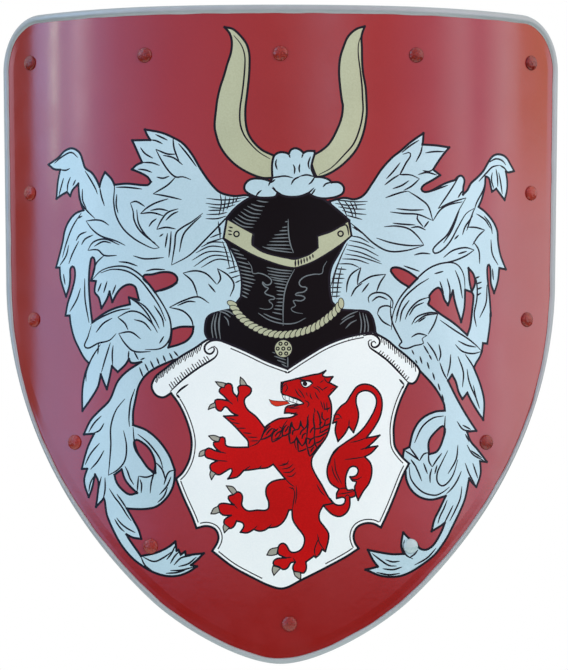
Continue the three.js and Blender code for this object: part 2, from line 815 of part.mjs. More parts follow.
// The keeper is sewn round both plies and the tongue
function keeper() {
  const half = guige_width / 2 + clearance;
  const low = -ply - guige_thickness / 2 - clearance;
  const high = ply + 1.5 * guige_thickness + 2 * clearance;
  const box = (margin) => [
    [-half - margin, low - margin], [half + margin, low - margin],
    [half + margin, high + margin], [-half - margin, high + margin],
  ].map(([x, y]) => new THREE.Vector2(x, y));
  const shape = new THREE.Shape(box(keeper_wall));
  shape.holes.push(new THREE.Path(box(0)));
  return new THREE.ExtrudeGeometry(shape, { depth: keeper_height, bevelEnabled: false });
}

// Assembly. The arm rests on the pad's back, and that place is the origin.

const object = new THREE.Group();
const shield = new THREE.Group();
shield.position.set(0, -(bar_front + pad_edge + pad_crown), -arm_middle);
object.add(shield);

function add(name, geometry, finish, at = null, turn = 0) {
  const mesh = new THREE.Mesh(geometry, finish);
  mesh.name = name;
  if (at) mesh.position.copy(at);
  mesh.rotation.z = turn;
  shield.add(mesh);
}

add('shield_sheet', shieldSheet(), red_paint);
add('rim_binding', rimBinding(), grey_steel);
add('leather_lining', lining(), lining_leather);

for (const { name, s, z, on } of rivets) {
  const silver = name === 'right_flank';
  const at = place(s, 0, z);
  add(`rivet_${name}`, domedRivet(layers[on]), silver ? silver_paint : red_paint, at, plan(s).angle);
  add(`burr_${name}`, burr(layers[on]), forged_iron, at, plan(s).angle);
}

add('cross_bar_upper', crossBar(arm_rows[0]), forged_iron);
add('cross_bar_lower', crossBar(arm_rows[1]), forged_iron);
add('arm_pad', armPad(), pad_leather);

for (const [word, strap] of Object.entries(straps)) {
  const { at, angle } = strapSeat(strap);
  add(`${word}_strap`, armStrap(strap), strap_leather, vector(at.x, at.y, arm_middle), angle);
  [['upper', arm_rows[0]], ['lower', arm_rows[1]]].forEach(([row, z]) => {
    rivetSpots(strap).forEach((spot, i) => {
      const middle = vector(at.x + spot * Math.cos(angle), at.y + spot * Math.sin(angle), z);
      add(`${word}_rivet_${row}_${i + 1}`, strapRivet(strap), brass, middle, angle);
    });
  });
}

for (const [word, side] of [['left', -1], ['right', 1]]) {
  add(`lug_${word}`, lug(side), forged_iron);
  const ring = wireLoop(loopWidth(ring_wire_radius), ring_drop, ring_corner, ring_wire_radius);
  add(`ring_${word}`, ring, forged_iron, vector(side * lug_x, eye_depth, top_row_z));
}

const heel = vector(lug_x, eye_depth, heel_z);
add('guige_long_strap', longStrap(), strap_leather);
add('guige_buckle_strap', buckleStrap(), strap_leather);
add('buckle_frame',
  wireLoop(loopWidth(buckle_wire_radius), buckle_length, ring_corner, buckle_wire_radius), brass, heel);
add('buckle_prong', prong(), brass, heel);
add('strap_keeper', keeper(), strap_leather, vector(heel.x, heel.y, heel.z + keeper_rise));

export default object;
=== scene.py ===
"""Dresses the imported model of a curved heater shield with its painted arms.

Metres in the shared frame. Sizes on the shield itself are millimetres: s runs round the curve
from the middle line, depth goes back from the painted face, z is the height over the sheet's middle.
"""

import json
import logging
import math
from dataclasses import dataclass, field
from enum import Enum
from typing import TypeVar

import bmesh
import bpy
import numpy
from mathutils import Matrix, Vector
from mathutils.geometry import delaunay_2d_cdt

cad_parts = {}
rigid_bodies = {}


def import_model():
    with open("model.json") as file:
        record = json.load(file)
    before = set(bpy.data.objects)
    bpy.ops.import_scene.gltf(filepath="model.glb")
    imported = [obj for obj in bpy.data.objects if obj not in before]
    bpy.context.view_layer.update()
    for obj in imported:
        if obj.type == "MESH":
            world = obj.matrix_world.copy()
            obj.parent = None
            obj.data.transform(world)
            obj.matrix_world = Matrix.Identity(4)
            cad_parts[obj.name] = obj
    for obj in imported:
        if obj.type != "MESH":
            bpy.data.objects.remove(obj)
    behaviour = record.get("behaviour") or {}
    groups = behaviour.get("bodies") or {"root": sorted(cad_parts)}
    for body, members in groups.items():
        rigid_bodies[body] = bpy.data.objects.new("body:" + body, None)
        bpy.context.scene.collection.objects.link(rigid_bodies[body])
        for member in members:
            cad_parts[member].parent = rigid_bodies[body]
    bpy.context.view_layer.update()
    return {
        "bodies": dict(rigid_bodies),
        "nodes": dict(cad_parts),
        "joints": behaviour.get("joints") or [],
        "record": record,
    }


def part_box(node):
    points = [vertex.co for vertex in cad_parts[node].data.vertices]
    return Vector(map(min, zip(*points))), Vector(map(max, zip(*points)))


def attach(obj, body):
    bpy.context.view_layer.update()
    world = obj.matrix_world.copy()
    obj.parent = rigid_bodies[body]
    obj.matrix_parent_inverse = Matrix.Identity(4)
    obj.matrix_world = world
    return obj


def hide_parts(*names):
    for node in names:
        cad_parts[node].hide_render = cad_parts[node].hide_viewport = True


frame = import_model()

MM = 0.001
log = logging.getLogger("heater_shield")

Colour = tuple[float, float, float]
Flat = tuple[float, float]
Point = TypeVar("Point", Vector, numpy.ndarray)


# Curves


def cubic(a: Point, b: Point, c: Point, d: Point, t: float) -> Point:
    """Returns the place at a share of the way along a curve with these four handles."""
    return a * (1 - t) ** 3 + b * 3 * t * (1 - t) ** 2 + c * 3 * t * t * (1 - t) + d * t ** 3


def cubic_way(a: Vector, b: Vector, c: Vector, d: Vector, t: float) -> Vector:
    """Returns the direction of the same curve there."""
    return ((b - a) * (1 - t) ** 2 + (c - b) * 2 * t * (1 - t) + (d - c) * t * t).normalized()


def between(a: Point, start: Point, b: Point, end: Point, t: float) -> Point:
    """Returns the place at a share of the way from a to b, with the pull at either end."""
    return (a * (2 * t ** 3 - 3 * t * t + 1) + start * (t ** 3 - 2 * t * t + t)
            + b * (3 * t * t - 2 * t ** 3) + end * (t ** 3 - t * t))


def arc(start: float, end: float, steps: int) -> list[Flat]:
    """Returns the cosine and sine of evenly spaced angles.

    Args:
        start: The first angle, in degrees.
        end: The last one.
        steps: The steps between them.

    Returns:
        A pair for each angle, one more than the steps.
    """
    angles = [math.radians(start + (end - start) * i / steps) for i in range(steps + 1)]
    return [(math.cos(angle), math.sin(angle)) for angle in angles]


# The shield's own shape


@dataclass(frozen=True)
class Roll:
    """How the sheet is rolled round the upright, and where it lies in the frame."""

    middle_radius: float = 820.0
    middle_half_width: float = 110.0
    side_radius: float = 340.0
    front: float = -26.7
    middle: float = -85.5

    def plan(self, s: float) -> tuple[float, float, float]:
        """Follows the curve seen from above.

        Args:
            s: Distance round the curve from the middle line.

        Returns:
            Across, back, and how far the face is turned, in radians.
        """
        run, side = abs(s), math.copysign(1.0, s)
        joint = self.middle_half_width / self.middle_radius
        if run <= self.middle_half_width:
            turn = run / self.middle_radius
            across, back = self.middle_radius * math.sin(turn), self.middle_radius * (1 - math.cos(turn))
            return side * across, back, side * turn
        turn = joint + (run - self.middle_half_width) / self.side_radius
        spare = self.middle_radius - self.side_radius
        across = spare * math.sin(joint) + self.side_radius * math.sin(turn)
        back = self.middle_radius - spare * math.cos(joint) - self.side_radius * math.cos(turn)
        return side * across, back, side * turn

    def place(self, s: float, depth: float, z: float) -> Vector:
        """Gives a place on the shield in the shared frame.

        Args:
            s: Distance round the curve.
            depth: Distance behind the painted face.
            z: Height over the sheet's middle.

        Returns:
            The place in metres.
        """
        x, y, turn = self.plan(s)
        return Vector((x - depth * math.sin(turn), y + depth * math.cos(turn) + self.front,
                       z + self.middle)) * MM

    def outward(self, s: float) -> Vector:
        """Returns the direction that the painted face looks in."""
        turn = self.plan(s)[2]
        return Vector((math.sin(turn), -math.cos(turn), 0.0))


@dataclass(frozen=True)
class EdgePoint:
    """A point of the outline, with the direction that leads straight out of it."""

    s: float
    z: float
    out_s: float
    out_z: float

    def inset(self, by: float) -> Flat:
        """Returns the place that lies this far inside the edge."""
        return self.s - self.out_s * by, self.z - self.out_z * by


@dataclass(frozen=True)
class Outline:
    """The outline of the shield over its rim, measured flat."""

    width: float = 675.0
    height: float = 700.0
    corner: float = 58.0
    foot: Flat = (0.985, 0.414)
    shoulder_handle: float = 0.2
    flank: tuple[Flat, ...] = ((0.649, 0.808), (0.406, 0.9086), (0.309, 0.948))
    tip_handle: float = 0.12
    step: float = 5.0
    corner_steps: int = 20

    def shared(self, across: float, down: float) -> Flat:
        """Returns a place given as shares of the half width and of the height from the top."""
        return across * self.width / 2, self.height / 2 - down * self.height

    def half(self) -> list[EdgePoint]:
        """Draws the right half from the top's middle round to the tip.

        Returns:
            Points spaced by the step, with their outward directions.
        """
        side, top = self.width / 2, self.height / 2
        foot = self.shared(*self.foot)
        before, joint, after = (self.shared(*share) for share in self.flank)
        line = [EdgePoint(s, top, 0.0, 1.0) for s in self._spaced(0.0, side - self.corner)]
        for out in arc(90.0, 0.0, self.corner_steps)[:-1]:
            line.append(EdgePoint(side - self.corner + self.corner * out[0],
                                  top - self.corner + self.corner * out[1], *out))
        start = (side, top - self.corner)
        run = math.dist(start, foot)
        out = ((start[1] - foot[1]) / run, (foot[0] - start[0]) / run)
        for way in self._spaced(0.0, run):
            line.append(EdgePoint(start[0] + (foot[0] - start[0]) * way / run,
                                  start[1] + (foot[1] - start[1]) * way / run, *out))
        shoulder = (foot[0], foot[1] - self.shoulder_handle * self.height)
        line += self._bezier(foot, shoulder, before, joint)
        line += self._bezier(joint, after, (self.tip_handle * side, -top), (0.0, -top))
        line.append(EdgePoint(0.0, -top, 0.0, -1.0))
        return line

    def closed(self) -> list[EdgePoint]:
        """Returns the whole outline, running clockwise as seen from the front."""
        right = self.half()
        left = [EdgePoint(-p.s, p.z, -p.out_s, p.out_z) for p in reversed(right[1:-1])]
        return right + left

    def rivet_row(self, z: float, inset: float) -> float:
        """Finds where a line along the edge passes a height below the corner.

        Args:
            z: The height.
            inset: How far the line runs inside the edge.

        Returns:
            The distance round the curve.
        """
        line = [p.inset(inset) for p in self.half() if p.z < self.height / 2 - self.corner]
        for a, b in zip(line, line[1:]):
            if (z - a[1]) * (z - b[1]) <= 0 and a[1] != b[1]:
                return a[0] + (b[0] - a[0]) * (z - a[1]) / (b[1] - a[1])
        return 0.0

    def _spaced(self, start: float, end: float) -> list[float]:
        """Returns evenly spaced distances from the start up to the end, without it."""
        count = max(1, math.ceil((end - start) / self.step))
        return [start + (end - start) * i / count for i in range(count)]

    def _bezier(self, *handles: Flat) -> list[EdgePoint]:
        """Follows a curve.

        Args:
            handles: Its four handles.

        Returns:
            Points spaced by the step, without the last.
        """
        a, b, c, d = (Vector(handle) for handle in handles)
        count = math.ceil(((b - a).length + (c - b).length + (d - c).length) / self.step)
        points = []
        for i in range(count):
            at, way = cubic(a, b, c, d, i / count), cubic_way(a, b, c, d, i / count)
            points.append(EdgePoint(at.x, at.y, -way.y, way.x))
        return points


ROLL = Roll()
OUTLINE = Outline()


@dataclass(frozen=True)
class Layers:
    """Depths and insets of the layers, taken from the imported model's own sizes."""

    clearance: float = 0.3
    sheet: float = 1.6
    step: float = 1.5
    rim_width: float = 10.0
    rim_depth: float = 9.4
    rim_wall: float = 1.2
    border: float = 9.0
    lining: float = 2.5
    lining_inset: float = 23.0
    bar: float = 3.0
    lug: float = 3.0
    lug_reach: float = 19.0

    @property
    def lining_front(self) -> float:
        """Returns the depth of the lining's face on the sheet."""
        return self.sheet + self.clearance

    @property
    def lining_back(self) -> float:
        """Returns the depth of the lining's outer face."""
        return self.lining_front + self.lining

    @property
    def bar_front(self) -> float:
        """Returns the depth of a cross bar's face on the lining."""
        return self.lining_back + self.clearance

    @property
    def bar_back(self) -> float:
        """Returns the depth of a cross bar's outer face."""
        return self.bar_front + self.bar

    @property
    def lug_back(self) -> float:
        """Returns the depth of a lug's foot."""
        lift = self.lug_reach ** 2 / (2 * ROLL.side_radius)
        return self.lining_back + self.clearance + lift + self.lug


LAYERS = Layers()


# Finishes


class Nodes:
    """Adds nodes to one material and links them."""

    def __init__(self, owner: bpy.types.Material | bpy.types.World, shader: str = "Principled BSDF") -> None:
        """Starts on a material or a world.

        Args:
            owner: The material or world.
            shader: The name of its main shader.
        """
        owner.use_nodes = True
        self.tree = owner.node_tree
        self.shader = self.tree.nodes[shader]
        self.place = self.add("ShaderNodeTexCoord").outputs["Object"]

    def add(self, kind: str, **values: object) -> bpy.types.Node:
        """Adds a node.

        Args:
            kind: The node's type.
            values: Its inputs by name with _ for a space, or its own properties.

        Returns:
            The node.
        """
        node = self.tree.nodes.new(kind)
        for key, value in values.items():
            name = key.replace("_", " ")
            if name in node.inputs:
                self.feed(node.inputs[name], value)
            else:
                setattr(node, key, value)
        return node

    def feed(self, socket: bpy.types.NodeSocket, value: object) -> None:
        """Links or sets an input.

        Args:
            socket: The input.
            value: An output to link, or a plain value.
        """
        if isinstance(value, bpy.types.NodeSocket):
            self.tree.links.new(value, socket)
        else:
            socket.default_value = value

    def surface(self, **values: object) -> None:
        """Links or sets inputs of the main shader, by name with _ for a space."""
        for key, value in values.items():
            self.feed(self.shader.inputs[key.replace("_", " ")], value)

    def noise(self, scale: float, detail: float = 2.0, stretch: tuple[float, float, float] = (1.0, 1.0, 1.0),
              roughness: float = 0.5) -> bpy.types.NodeSocket:
        """Returns noise over the piece, about 0.5 on average.

        Args:
            scale: How fine it is.
            detail: Its layers of detail.
            stretch: How it is scaled along each axis.
            roughness: The weight of its finer layers.

        Returns:
            The noise's value.
        """
        mapping = self.add("ShaderNodeMapping", Vector=self.place, Scale=stretch)
        node = self.add("ShaderNodeTexNoise", Vector=mapping.outputs[0], Scale=scale, Detail=detail)
        node.inputs["Roughness"].default_value = roughness
        return node.outputs["Fac"]

    def ramp(self, fac: bpy.types.NodeSocket, *stops: tuple[float, Colour]) -> bpy.types.NodeSocket:
        """Maps a value to colours.

        Args:
            fac: The value.
            stops: Places from 0 to 1 with their colours.

        Returns:
            The colour.
        """
        node = self.add("ShaderNodeValToRGB", Fac=fac)
        elements = node.color_ramp.elements
        while len(elements) < len(stops):
            elements.new(0.5)
        for element, (at, colour) in zip(elements, stops):
            element.position = at
            element.color = (*colour, 1.0)
        return node.outputs["Color"]

    def spread(self, fac: bpy.types.NodeSocket, low: float, high: float, start: float = 0.3,
               end: float = 0.7) -> bpy.types.NodeSocket:
        """Stretches a value between two others.

        Args:
            fac: The value.
            low: What start becomes.
            high: What end becomes.
            start: The low end of what comes in.
            end: The high end of what comes in.

        Returns:
            The stretched value.
        """
        node = self.add("ShaderNodeMapRange", Value=fac)
        for name, value in (("From Min", start), ("From Max", end), ("To Min", low), ("To Max", high)):
            node.inputs[name].default_value = value
        return node.outputs["Result"]

    def blend(self, a: bpy.types.NodeSocket, b: bpy.types.NodeSocket, share: float) -> bpy.types.NodeSocket:
        """Returns one value with a share of another in it.

        Args:
            a: The first value.
            b: The second value.
            share: The share of the second.

        Returns:
            Both in one.
        """
        return self.math("ADD", self.math("MULTIPLY", a, 1 - share), self.math("MULTIPLY", b, share))

    def math(self, operation: str, a: object, b: object = 0.0) -> bpy.types.NodeSocket:
        """Returns the result of a sum on two values.

        Args:
            operation: The operation's name.
            a: The first value.
            b: The second value.

        Returns:
            The result.
        """
        node = self.add("ShaderNodeMath", operation=operation)
        self.feed(node.inputs[0], a)
        self.feed(node.inputs[1], b)
        return node.outputs[0]

    def mix(self, fac: object, a: object, b: object) -> bpy.types.NodeSocket:
        """Mixes two colours.

        Args:
            fac: The share of the second.
            a: The first colour.
            b: The second colour.

        Returns:
            The colour.
        """
        node = self.add("ShaderNodeMixRGB")
        for socket, value in zip(node.inputs, (fac, a, b)):
            self.feed(socket, (*value, 1.0) if isinstance(value, tuple) else value)
        return node.outputs[0]

    def bump(self, height: bpy.types.NodeSocket, strength: float, distance: float,
             under: bpy.types.NodeSocket | None = None) -> bpy.types.NodeSocket:
        """Raises the surface by a value.

        Args:
            height: The value.
            strength: How much it counts.
            distance: The height of 1, in metres.
            under: A bump that this one lies on.

        Returns:
            The normal.
        """
        node = self.add("ShaderNodeBump", Height=height, Strength=strength, Distance=distance)
        if under is not None:
            self.feed(node.inputs["Normal"], under)
        return node.outputs["Normal"]


@dataclass(frozen=True)
class Enamel:
    """Brushed gloss enamel: nearly even in colour, with faint brush ridges and orange peel."""

    name: str
    colour: Colour
    shade: Colour
    roughness: float = 0.15
    specular: float = 1.0
    peel: float = 0.05
    peel_scale: float = 170.0
    waver: float = 0.12
    cloud_scale: float = 9.0
    grain_scale: float = 620.0
    grain_share: float = 0.4
    shade_end: float = 0.36
    colour_start: float = 0.6
    smear_scale: float = 26.0
    brush_scale: float = 120.0
    brush_share: float = 0.6
    waver_scale: float = 11.0
    waver_height: float = 0.004
    peel_height: float = 0.001
    brush_height: float = 0.0006

    def material(self) -> bpy.types.Material:
        """Returns the material."""
        material = bpy.data.materials.new(self.name)
        nodes = Nodes(material)
        mottle = nodes.blend(nodes.noise(self.cloud_scale, 3.0), nodes.noise(self.grain_scale),
                             self.grain_share)
        waver = nodes.bump(nodes.noise(self.waver_scale, 1.0, (1.0, 1.0, 0.5)),
                           self.waver, self.waver_height)
        peel = nodes.bump(nodes.noise(self.peel_scale), self.peel, self.peel_height, waver)
        brush = nodes.noise(self.brush_scale, stretch=(1.0, 1.0, 0.25))
        nodes.surface(
            Base_Color=nodes.ramp(mottle, (self.shade_end, self.shade), (self.colour_start, self.colour)),
            Roughness=nodes.spread(nodes.noise(self.smear_scale, 3.0),
                                   self.roughness - 0.03, self.roughness + 0.05),
            Normal=nodes.bump(brush, self.peel * self.brush_share, self.brush_height, peel),
            Specular_IOR_Level=self.specular)
        return material


@dataclass(frozen=True)
class Metal:
    """A worked metal: rolled, cast or forged, with scale, rubbed edges and fine scratches."""

    name: str
    colour: Colour
    worn: Colour
    roughness: float = 0.4
    dents: float = 0.1
    dent_scale: float = 60.0
    metallic: float = 1.0
    patch_scale: float = 34.0
    scratch_scale: float = 260.0
    scratch_share: float = 0.4
    rubbed_from: float = 0.51
    rubbed_to: float = 0.58
    dent_height: float = 0.002
    scratch_height: float = 0.0004

    def material(self) -> bpy.types.Material:
        """Returns the material."""
        material = bpy.data.materials.new(self.name)
        nodes = Nodes(material)
        patches = nodes.noise(self.patch_scale, 5.0, roughness=0.6)
        scratches = nodes.noise(self.scratch_scale, 3.0, (1.0, 1.0, 6.0))
        edge = nodes.add("ShaderNodeNewGeometry").outputs["Pointiness"]
        halfway = tuple(0.5 * (a + b) for a, b in zip(self.colour, self.worn))
        low = nodes.bump(nodes.noise(self.dent_scale), self.dents, self.dent_height)
        nodes.surface(
            Base_Color=nodes.mix(nodes.spread(edge, 0.0, 1.0, self.rubbed_from, self.rubbed_to),
                                 nodes.ramp(patches, (0.35, self.colour), (0.7, halfway)), self.worn),
            Roughness=nodes.spread(nodes.blend(patches, scratches, self.scratch_share),
                                   self.roughness - 0.08, self.roughness + 0.12),
            Normal=nodes.bump(scratches, self.dents * self.scratch_share, self.scratch_height, low),
            Metallic=self.metallic)
        return material


@dataclass(frozen=True)
class Leather:
    """Leather: pores and creases, its tone varying at random, with painted shade darkening its creases."""

    name: str
    colour: Colour
    dark: Colour
    roughness: float = 0.6
    pore_scale: float = 900.0
    pores: float = 0.25
    creases: float = 0.3
    sheen: float = 0.0
    cloud_scale: float = 14.0
    crease_scale: float = 95.0
    crease_shade: float = 0.35
    pore_reach: float = 0.25
    pore_height: float = 0.0003
    crease_height: float = 0.0012

    def material(self) -> bpy.types.Material:
        """Returns the material."""
        material = bpy.data.materials.new(self.name)
        nodes = Nodes(material)
        cloud = nodes.noise(self.cloud_scale, 5.0, roughness=0.6)
        cells = nodes.add("ShaderNodeTexVoronoi", Vector=nodes.place, Scale=self.pore_scale,
                          feature="DISTANCE_TO_EDGE").outputs["Distance"]
        creases = nodes.noise(self.crease_scale, 6.0, roughness=0.65)
        low = nodes.bump(creases, self.creases, self.crease_height)
        nodes.surface(
            # Base colour: random tone, with painted shade mixed in where the crease bump is low.
            Base_Color=nodes.mix(nodes.spread(creases, self.crease_shade, 0.0, 0.38, 0.5),
                                 nodes.ramp(cloud, (0.32, self.dark), (0.68, self.colour)), self.dark),
            Roughness=nodes.spread(cloud, self.roughness - 0.08, self.roughness + 0.1),
            Normal=nodes.bump(nodes.spread(cells, 0.0, 1.0, 0.0, self.pore_reach),
                              self.pores, self.pore_height, low),
            Sheen_Weight=self.sheen)
        return material


@dataclass(frozen=True)
class Thread:
    """Waxed linen thread: twisted, with painted shade in the grooves between its strands."""

    name: str
    colour: Colour
    dark: Colour
    roughness: float = 0.7
    strand_scale: float = 1500.0
    twist: float = 0.5
    strand_height: float = 0.0003

    def material(self) -> bpy.types.Material:
        """Returns the material."""
        material = bpy.data.materials.new(self.name)
        nodes = Nodes(material)
        strands = nodes.noise(self.strand_scale, stretch=(1.0, 1.0, 0.4))
        # The strand noise raises the bump and darkens the colour where it is low: painted shade between the
        # strands.
        nodes.surface(Base_Color=nodes.ramp(strands, (0.35, self.dark), (0.65, self.colour)),
                      Normal=nodes.bump(strands, self.twist, self.strand_height), Roughness=self.roughness)
        return material


class Finish(Enum):
    """Each finish of the shield."""

    FIELD = Enamel("red_enamel_field", (0.280, 0.0112, 0.0092), (0.255, 0.0095, 0.0080), 0.13, 1.0, 0.03)
    RIVET = Enamel("red_enamel_rivets", (0.31, 0.022, 0.008), (0.10, 0.006, 0.004),
                   0.18, 0.6, 1.0, 420.0, 0.0)
    RIVET_SILVER = Enamel("silver_enamel_rivet", (0.42, 0.58, 0.62), (0.36, 0.52, 0.56),
                          0.14, 1.0, 0.5, 260.0)
    SILVER = Enamel("silver_blue_enamel", (0.46, 0.69, 0.79), (0.40, 0.62, 0.71), 0.2)
    GOLD = Enamel("pale_gold_enamel", (0.44, 0.52, 0.35), (0.37, 0.44, 0.29), 0.2)
    BLACK = Enamel("black_enamel", (0.003, 0.005, 0.006), (0.002, 0.004, 0.005), 0.16, 0.1)
    WHITE = Enamel("white_enamel", (0.84, 0.95, 0.97), (0.78, 0.90, 0.93), 0.2)
    RED = Enamel("charge_red_enamel", (0.54, 0.006, 0.0065), (0.42, 0.005, 0.005), 0.18, 0.1)
    TONGUE = Enamel("tongue_enamel", (0.62, 0.032, 0.010), (0.54, 0.028, 0.009), 0.18, 0.3)
    INK = Enamel("outline_enamel", (0.005, 0.010, 0.016), (0.004, 0.008, 0.012), 0.2, 0.2)
    GREY = Enamel("grey_enamel", (0.16, 0.20, 0.22), (0.12, 0.15, 0.17), 0.2, 0.2)
    CLAW = Enamel("claw_enamel", (0.32, 0.36, 0.30), (0.27, 0.31, 0.26), 0.2)
    RIM = Metal("grey_rim_steel", (0.32, 0.385, 0.41), (0.43, 0.49, 0.50), 0.42, 0.10, 90.0, 0.2)
    IRON = Metal("hammered_iron", (0.060, 0.061, 0.064), (0.26, 0.26, 0.26), 0.5, 0.45, 45.0, 0.8)
    BRASS = Metal("cast_brass", (0.44, 0.30, 0.11), (0.66, 0.50, 0.24), 0.34, 0.12, 80.0)
    LINING = Leather("lining_suede", (0.235, 0.135, 0.070), (0.135, 0.075, 0.038),
                     0.85, 1400.0, 0.35, 0.25, 0.25)
    STRAP = Leather("harness_leather", (0.105, 0.046, 0.022), (0.045, 0.019, 0.010), 0.5, 800.0, 0.22, 0.3)
    PAD = Leather("stuffed_leather", (0.165, 0.078, 0.036), (0.075, 0.034, 0.017), 0.55, 700.0, 0.3, 0.4)
    THREAD = Thread("waxed_linen_thread", (0.46, 0.38, 0.25), (0.24, 0.18, 0.11))

    @property
    def material(self) -> bpy.types.Material:
        """Returns the finish's material, made once."""
        return bpy.data.materials.get(self.value.name) or self.value.material()


# Meshes


def finished(name: str, bm: bmesh.types.BMesh, finish: Finish, slot: str, body: str = "shield",
             nodes: tuple[str, ...] = (), smooth: float | None = 40.0,
             behind: Finish | None = None) -> bpy.types.Object:
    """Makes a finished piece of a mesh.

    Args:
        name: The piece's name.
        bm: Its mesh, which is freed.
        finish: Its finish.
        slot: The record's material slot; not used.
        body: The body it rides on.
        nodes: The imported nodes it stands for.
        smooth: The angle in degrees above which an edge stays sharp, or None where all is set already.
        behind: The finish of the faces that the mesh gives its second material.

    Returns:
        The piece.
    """
    mesh = bpy.data.meshes.new(name)
    bm.to_mesh(mesh)
    bm.free()
    mesh.materials.append(finish.material)
    if behind:
        mesh.materials.append(behind.material)
    piece = bpy.data.objects.new(name, mesh)
    bpy.context.scene.collection.objects.link(piece)
    if smooth is not None:
        mesh.shade_smooth()
        mesh.set_sharp_from_angle(angle=math.radians(smooth))
    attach(piece, body)
    if nodes:
        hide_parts(*nodes)
    return piece


def roll(piece: bpy.types.Object, angle: float = 40.0, level: float = 0.9999, same: float = 0.85,
         plane: float = 1.0) -> None:
    """Rolls a flat piece, whose x is s and whose y is the depth, onto the shield, shaded by the true curve.

    Args:
        piece: The flat piece, in millimetres.
        angle: The angle in degrees above which an edge stays sharp.
        level: How nearly square to the shield a face is that keeps its own direction.
        same: How nearly another face agrees with it to be shaded with it.
        plane: How nearly square a sloping face is that is shaded flat.
    """
    mesh = piece.data
    mesh.shade_smooth()
    mesh.set_sharp_from_angle(angle=math.radians(angle))
    facing: dict[int, Vector] = {}
    for polygon in mesh.polygons:
        if abs(polygon.normal.y) > level:
            flat = Vector((0.0, math.copysign(1.0, polygon.normal.y), 0.0))
            facing.update({vertex: flat for vertex in polygon.vertices})
    turns = [ROLL.plan(vertex.co.x)[2] for vertex in mesh.vertices]
    smooth = [normal.vector.copy() for normal in mesh.corner_normals]
    loops = []
    for polygon in mesh.polygons:
        for loop in polygon.loop_indices:
            at = mesh.loops[loop].vertex_index
            flat = facing.get(at)
            normal = flat if flat is not None and polygon.normal.dot(flat) > same else smooth[loop]
            if level > abs(polygon.normal.y) > plane:
                normal = polygon.normal
            cosine, sine = math.cos(turns[at]), math.sin(turns[at])
            loops.append(Vector((normal.x * cosine - normal.y * sine,
                                 normal.x * sine + normal.y * cosine, normal.z)))
    for vertex in mesh.vertices:
        vertex.co = ROLL.place(*vertex.co)
    mesh.normals_split_custom_set(loops)
    mesh.update()


def thicken(bm: bmesh.types.BMesh, depth: float) -> None:
    """Turns a flat sheet into a closed slab, its first faces looking out.

    Args:
        bm: The sheet, in millimetres, its x being s and its y the depth.
        depth: How far back the slab reaches.
    """
    faces = list(bm.faces)
    made = bmesh.ops.extrude_face_region(bm, geom=faces, use_keep_orig=True)
    verts = [g for g in made["geom"] if isinstance(g, bmesh.types.BMVert)]
    bmesh.ops.translate(bm, verts=verts, vec=(0, depth, 0))
    bmesh.ops.recalc_face_normals(bm, faces=bm.faces)


def lathe(profile: list[Flat], steps: int = 32, closed: bool = False) -> bmesh.types.BMesh:
    """Turns a profile about its own axis.

    Args:
        profile: Points as radius and depth in millimetres, from the axis back to the axis.
        steps: Faces round it.
        closed: Whether the profile is a ring that stays off the axis.

    Returns:
        The turned mesh, its axis along Y.
    """
    bm = bmesh.new()
    verts = [bm.verts.new((r, y, 0)) for r, y in profile]
    pairs = list(zip(verts, verts[1:])) + ([(verts[-1], verts[0])] if closed else [])
    edges = [bm.edges.new(pair) for pair in pairs]
    bmesh.ops.spin(bm, geom=verts + edges, cent=(0, 0, 0), axis=(0, 1, 0), dvec=(0, 0, 0),
                   angle=math.tau, steps=steps, use_merge=True, use_normal_flip=False, use_duplicate=False)
    bmesh.ops.remove_doubles(bm, verts=bm.verts, dist=0.001)
    bmesh.ops.recalc_face_normals(bm, faces=bm.faces)
    return bm


def carve(bm: bmesh.types.BMesh, tool: bmesh.types.BMesh) -> bmesh.types.BMesh:
    """Cuts closed shapes out of a mesh.

    Args:
        bm: The mesh, which is freed.
        tool: What is cut away, which is freed too.

    Returns:
        What is left.
    """
    pieces = []
    for name, source in (("whole", bm), ("tool", tool)):
        mesh = bpy.data.meshes.new(name)
        source.to_mesh(mesh)
        source.free()
        pieces.append(bpy.data.objects.new(name, mesh))
        bpy.context.scene.collection.objects.link(pieces[-1])
    whole, cutter = pieces
    modifier = whole.modifiers.new("cut", "BOOLEAN")
    modifier.operation, modifier.solver, modifier.object = "DIFFERENCE", "EXACT", cutter
    cut = whole.evaluated_get(bpy.context.evaluated_depsgraph_get())
    left = bmesh.new()
    left.from_mesh(bpy.data.meshes.new_from_object(cut))
    for piece in pieces:
        mesh = piece.data
        bpy.data.objects.remove(piece)
        bpy.data.meshes.remove(mesh)
    return left


def drill(bm: bmesh.types.BMesh, radius: float, depth: float, sides: int,
          at: tuple[float, float, float] = (0.0, 0.0, 0.0)) -> bmesh.types.BMesh:
    """Drills a round hole along Y.

    Args:
        bm: The mesh, which is freed.
        radius: The hole's radius.
        depth: The length of the tool.
        sides: The faces round the hole.
        at: The tool's middle.

    Returns:
        The mesh with its hole.
    """
    tool = bmesh.new()
    bmesh.ops.create_cone(tool, cap_ends=True, segments=sides, radius1=radius, radius2=radius, depth=depth,
                          matrix=Matrix.Rotation(math.pi / 2, 4, "X"))
    bmesh.ops.translate(tool, verts=tool.verts, vec=at)
    return carve(bm, tool)


def soften(bm: bmesh.types.BMesh, width: float, segments: int = 2, angle: float = 40.0) -> None:
    """Bevels the sharp edges of a mesh.

    Args:
        bm: The mesh.
        width: The bevel's width.
        segments: Its faces across.
        angle: The angle in degrees above which an edge is sharp.
    """
    bm.normal_update()
    sharp = [edge for edge in bm.edges if edge.calc_face_angle(0.0) > math.radians(angle)]
    bmesh.ops.bevel(bm, geom=sharp, offset=width, offset_type="OFFSET", segments=segments, profile=0.5,
                    affect="EDGES", material=-1, clamp_overlap=True)


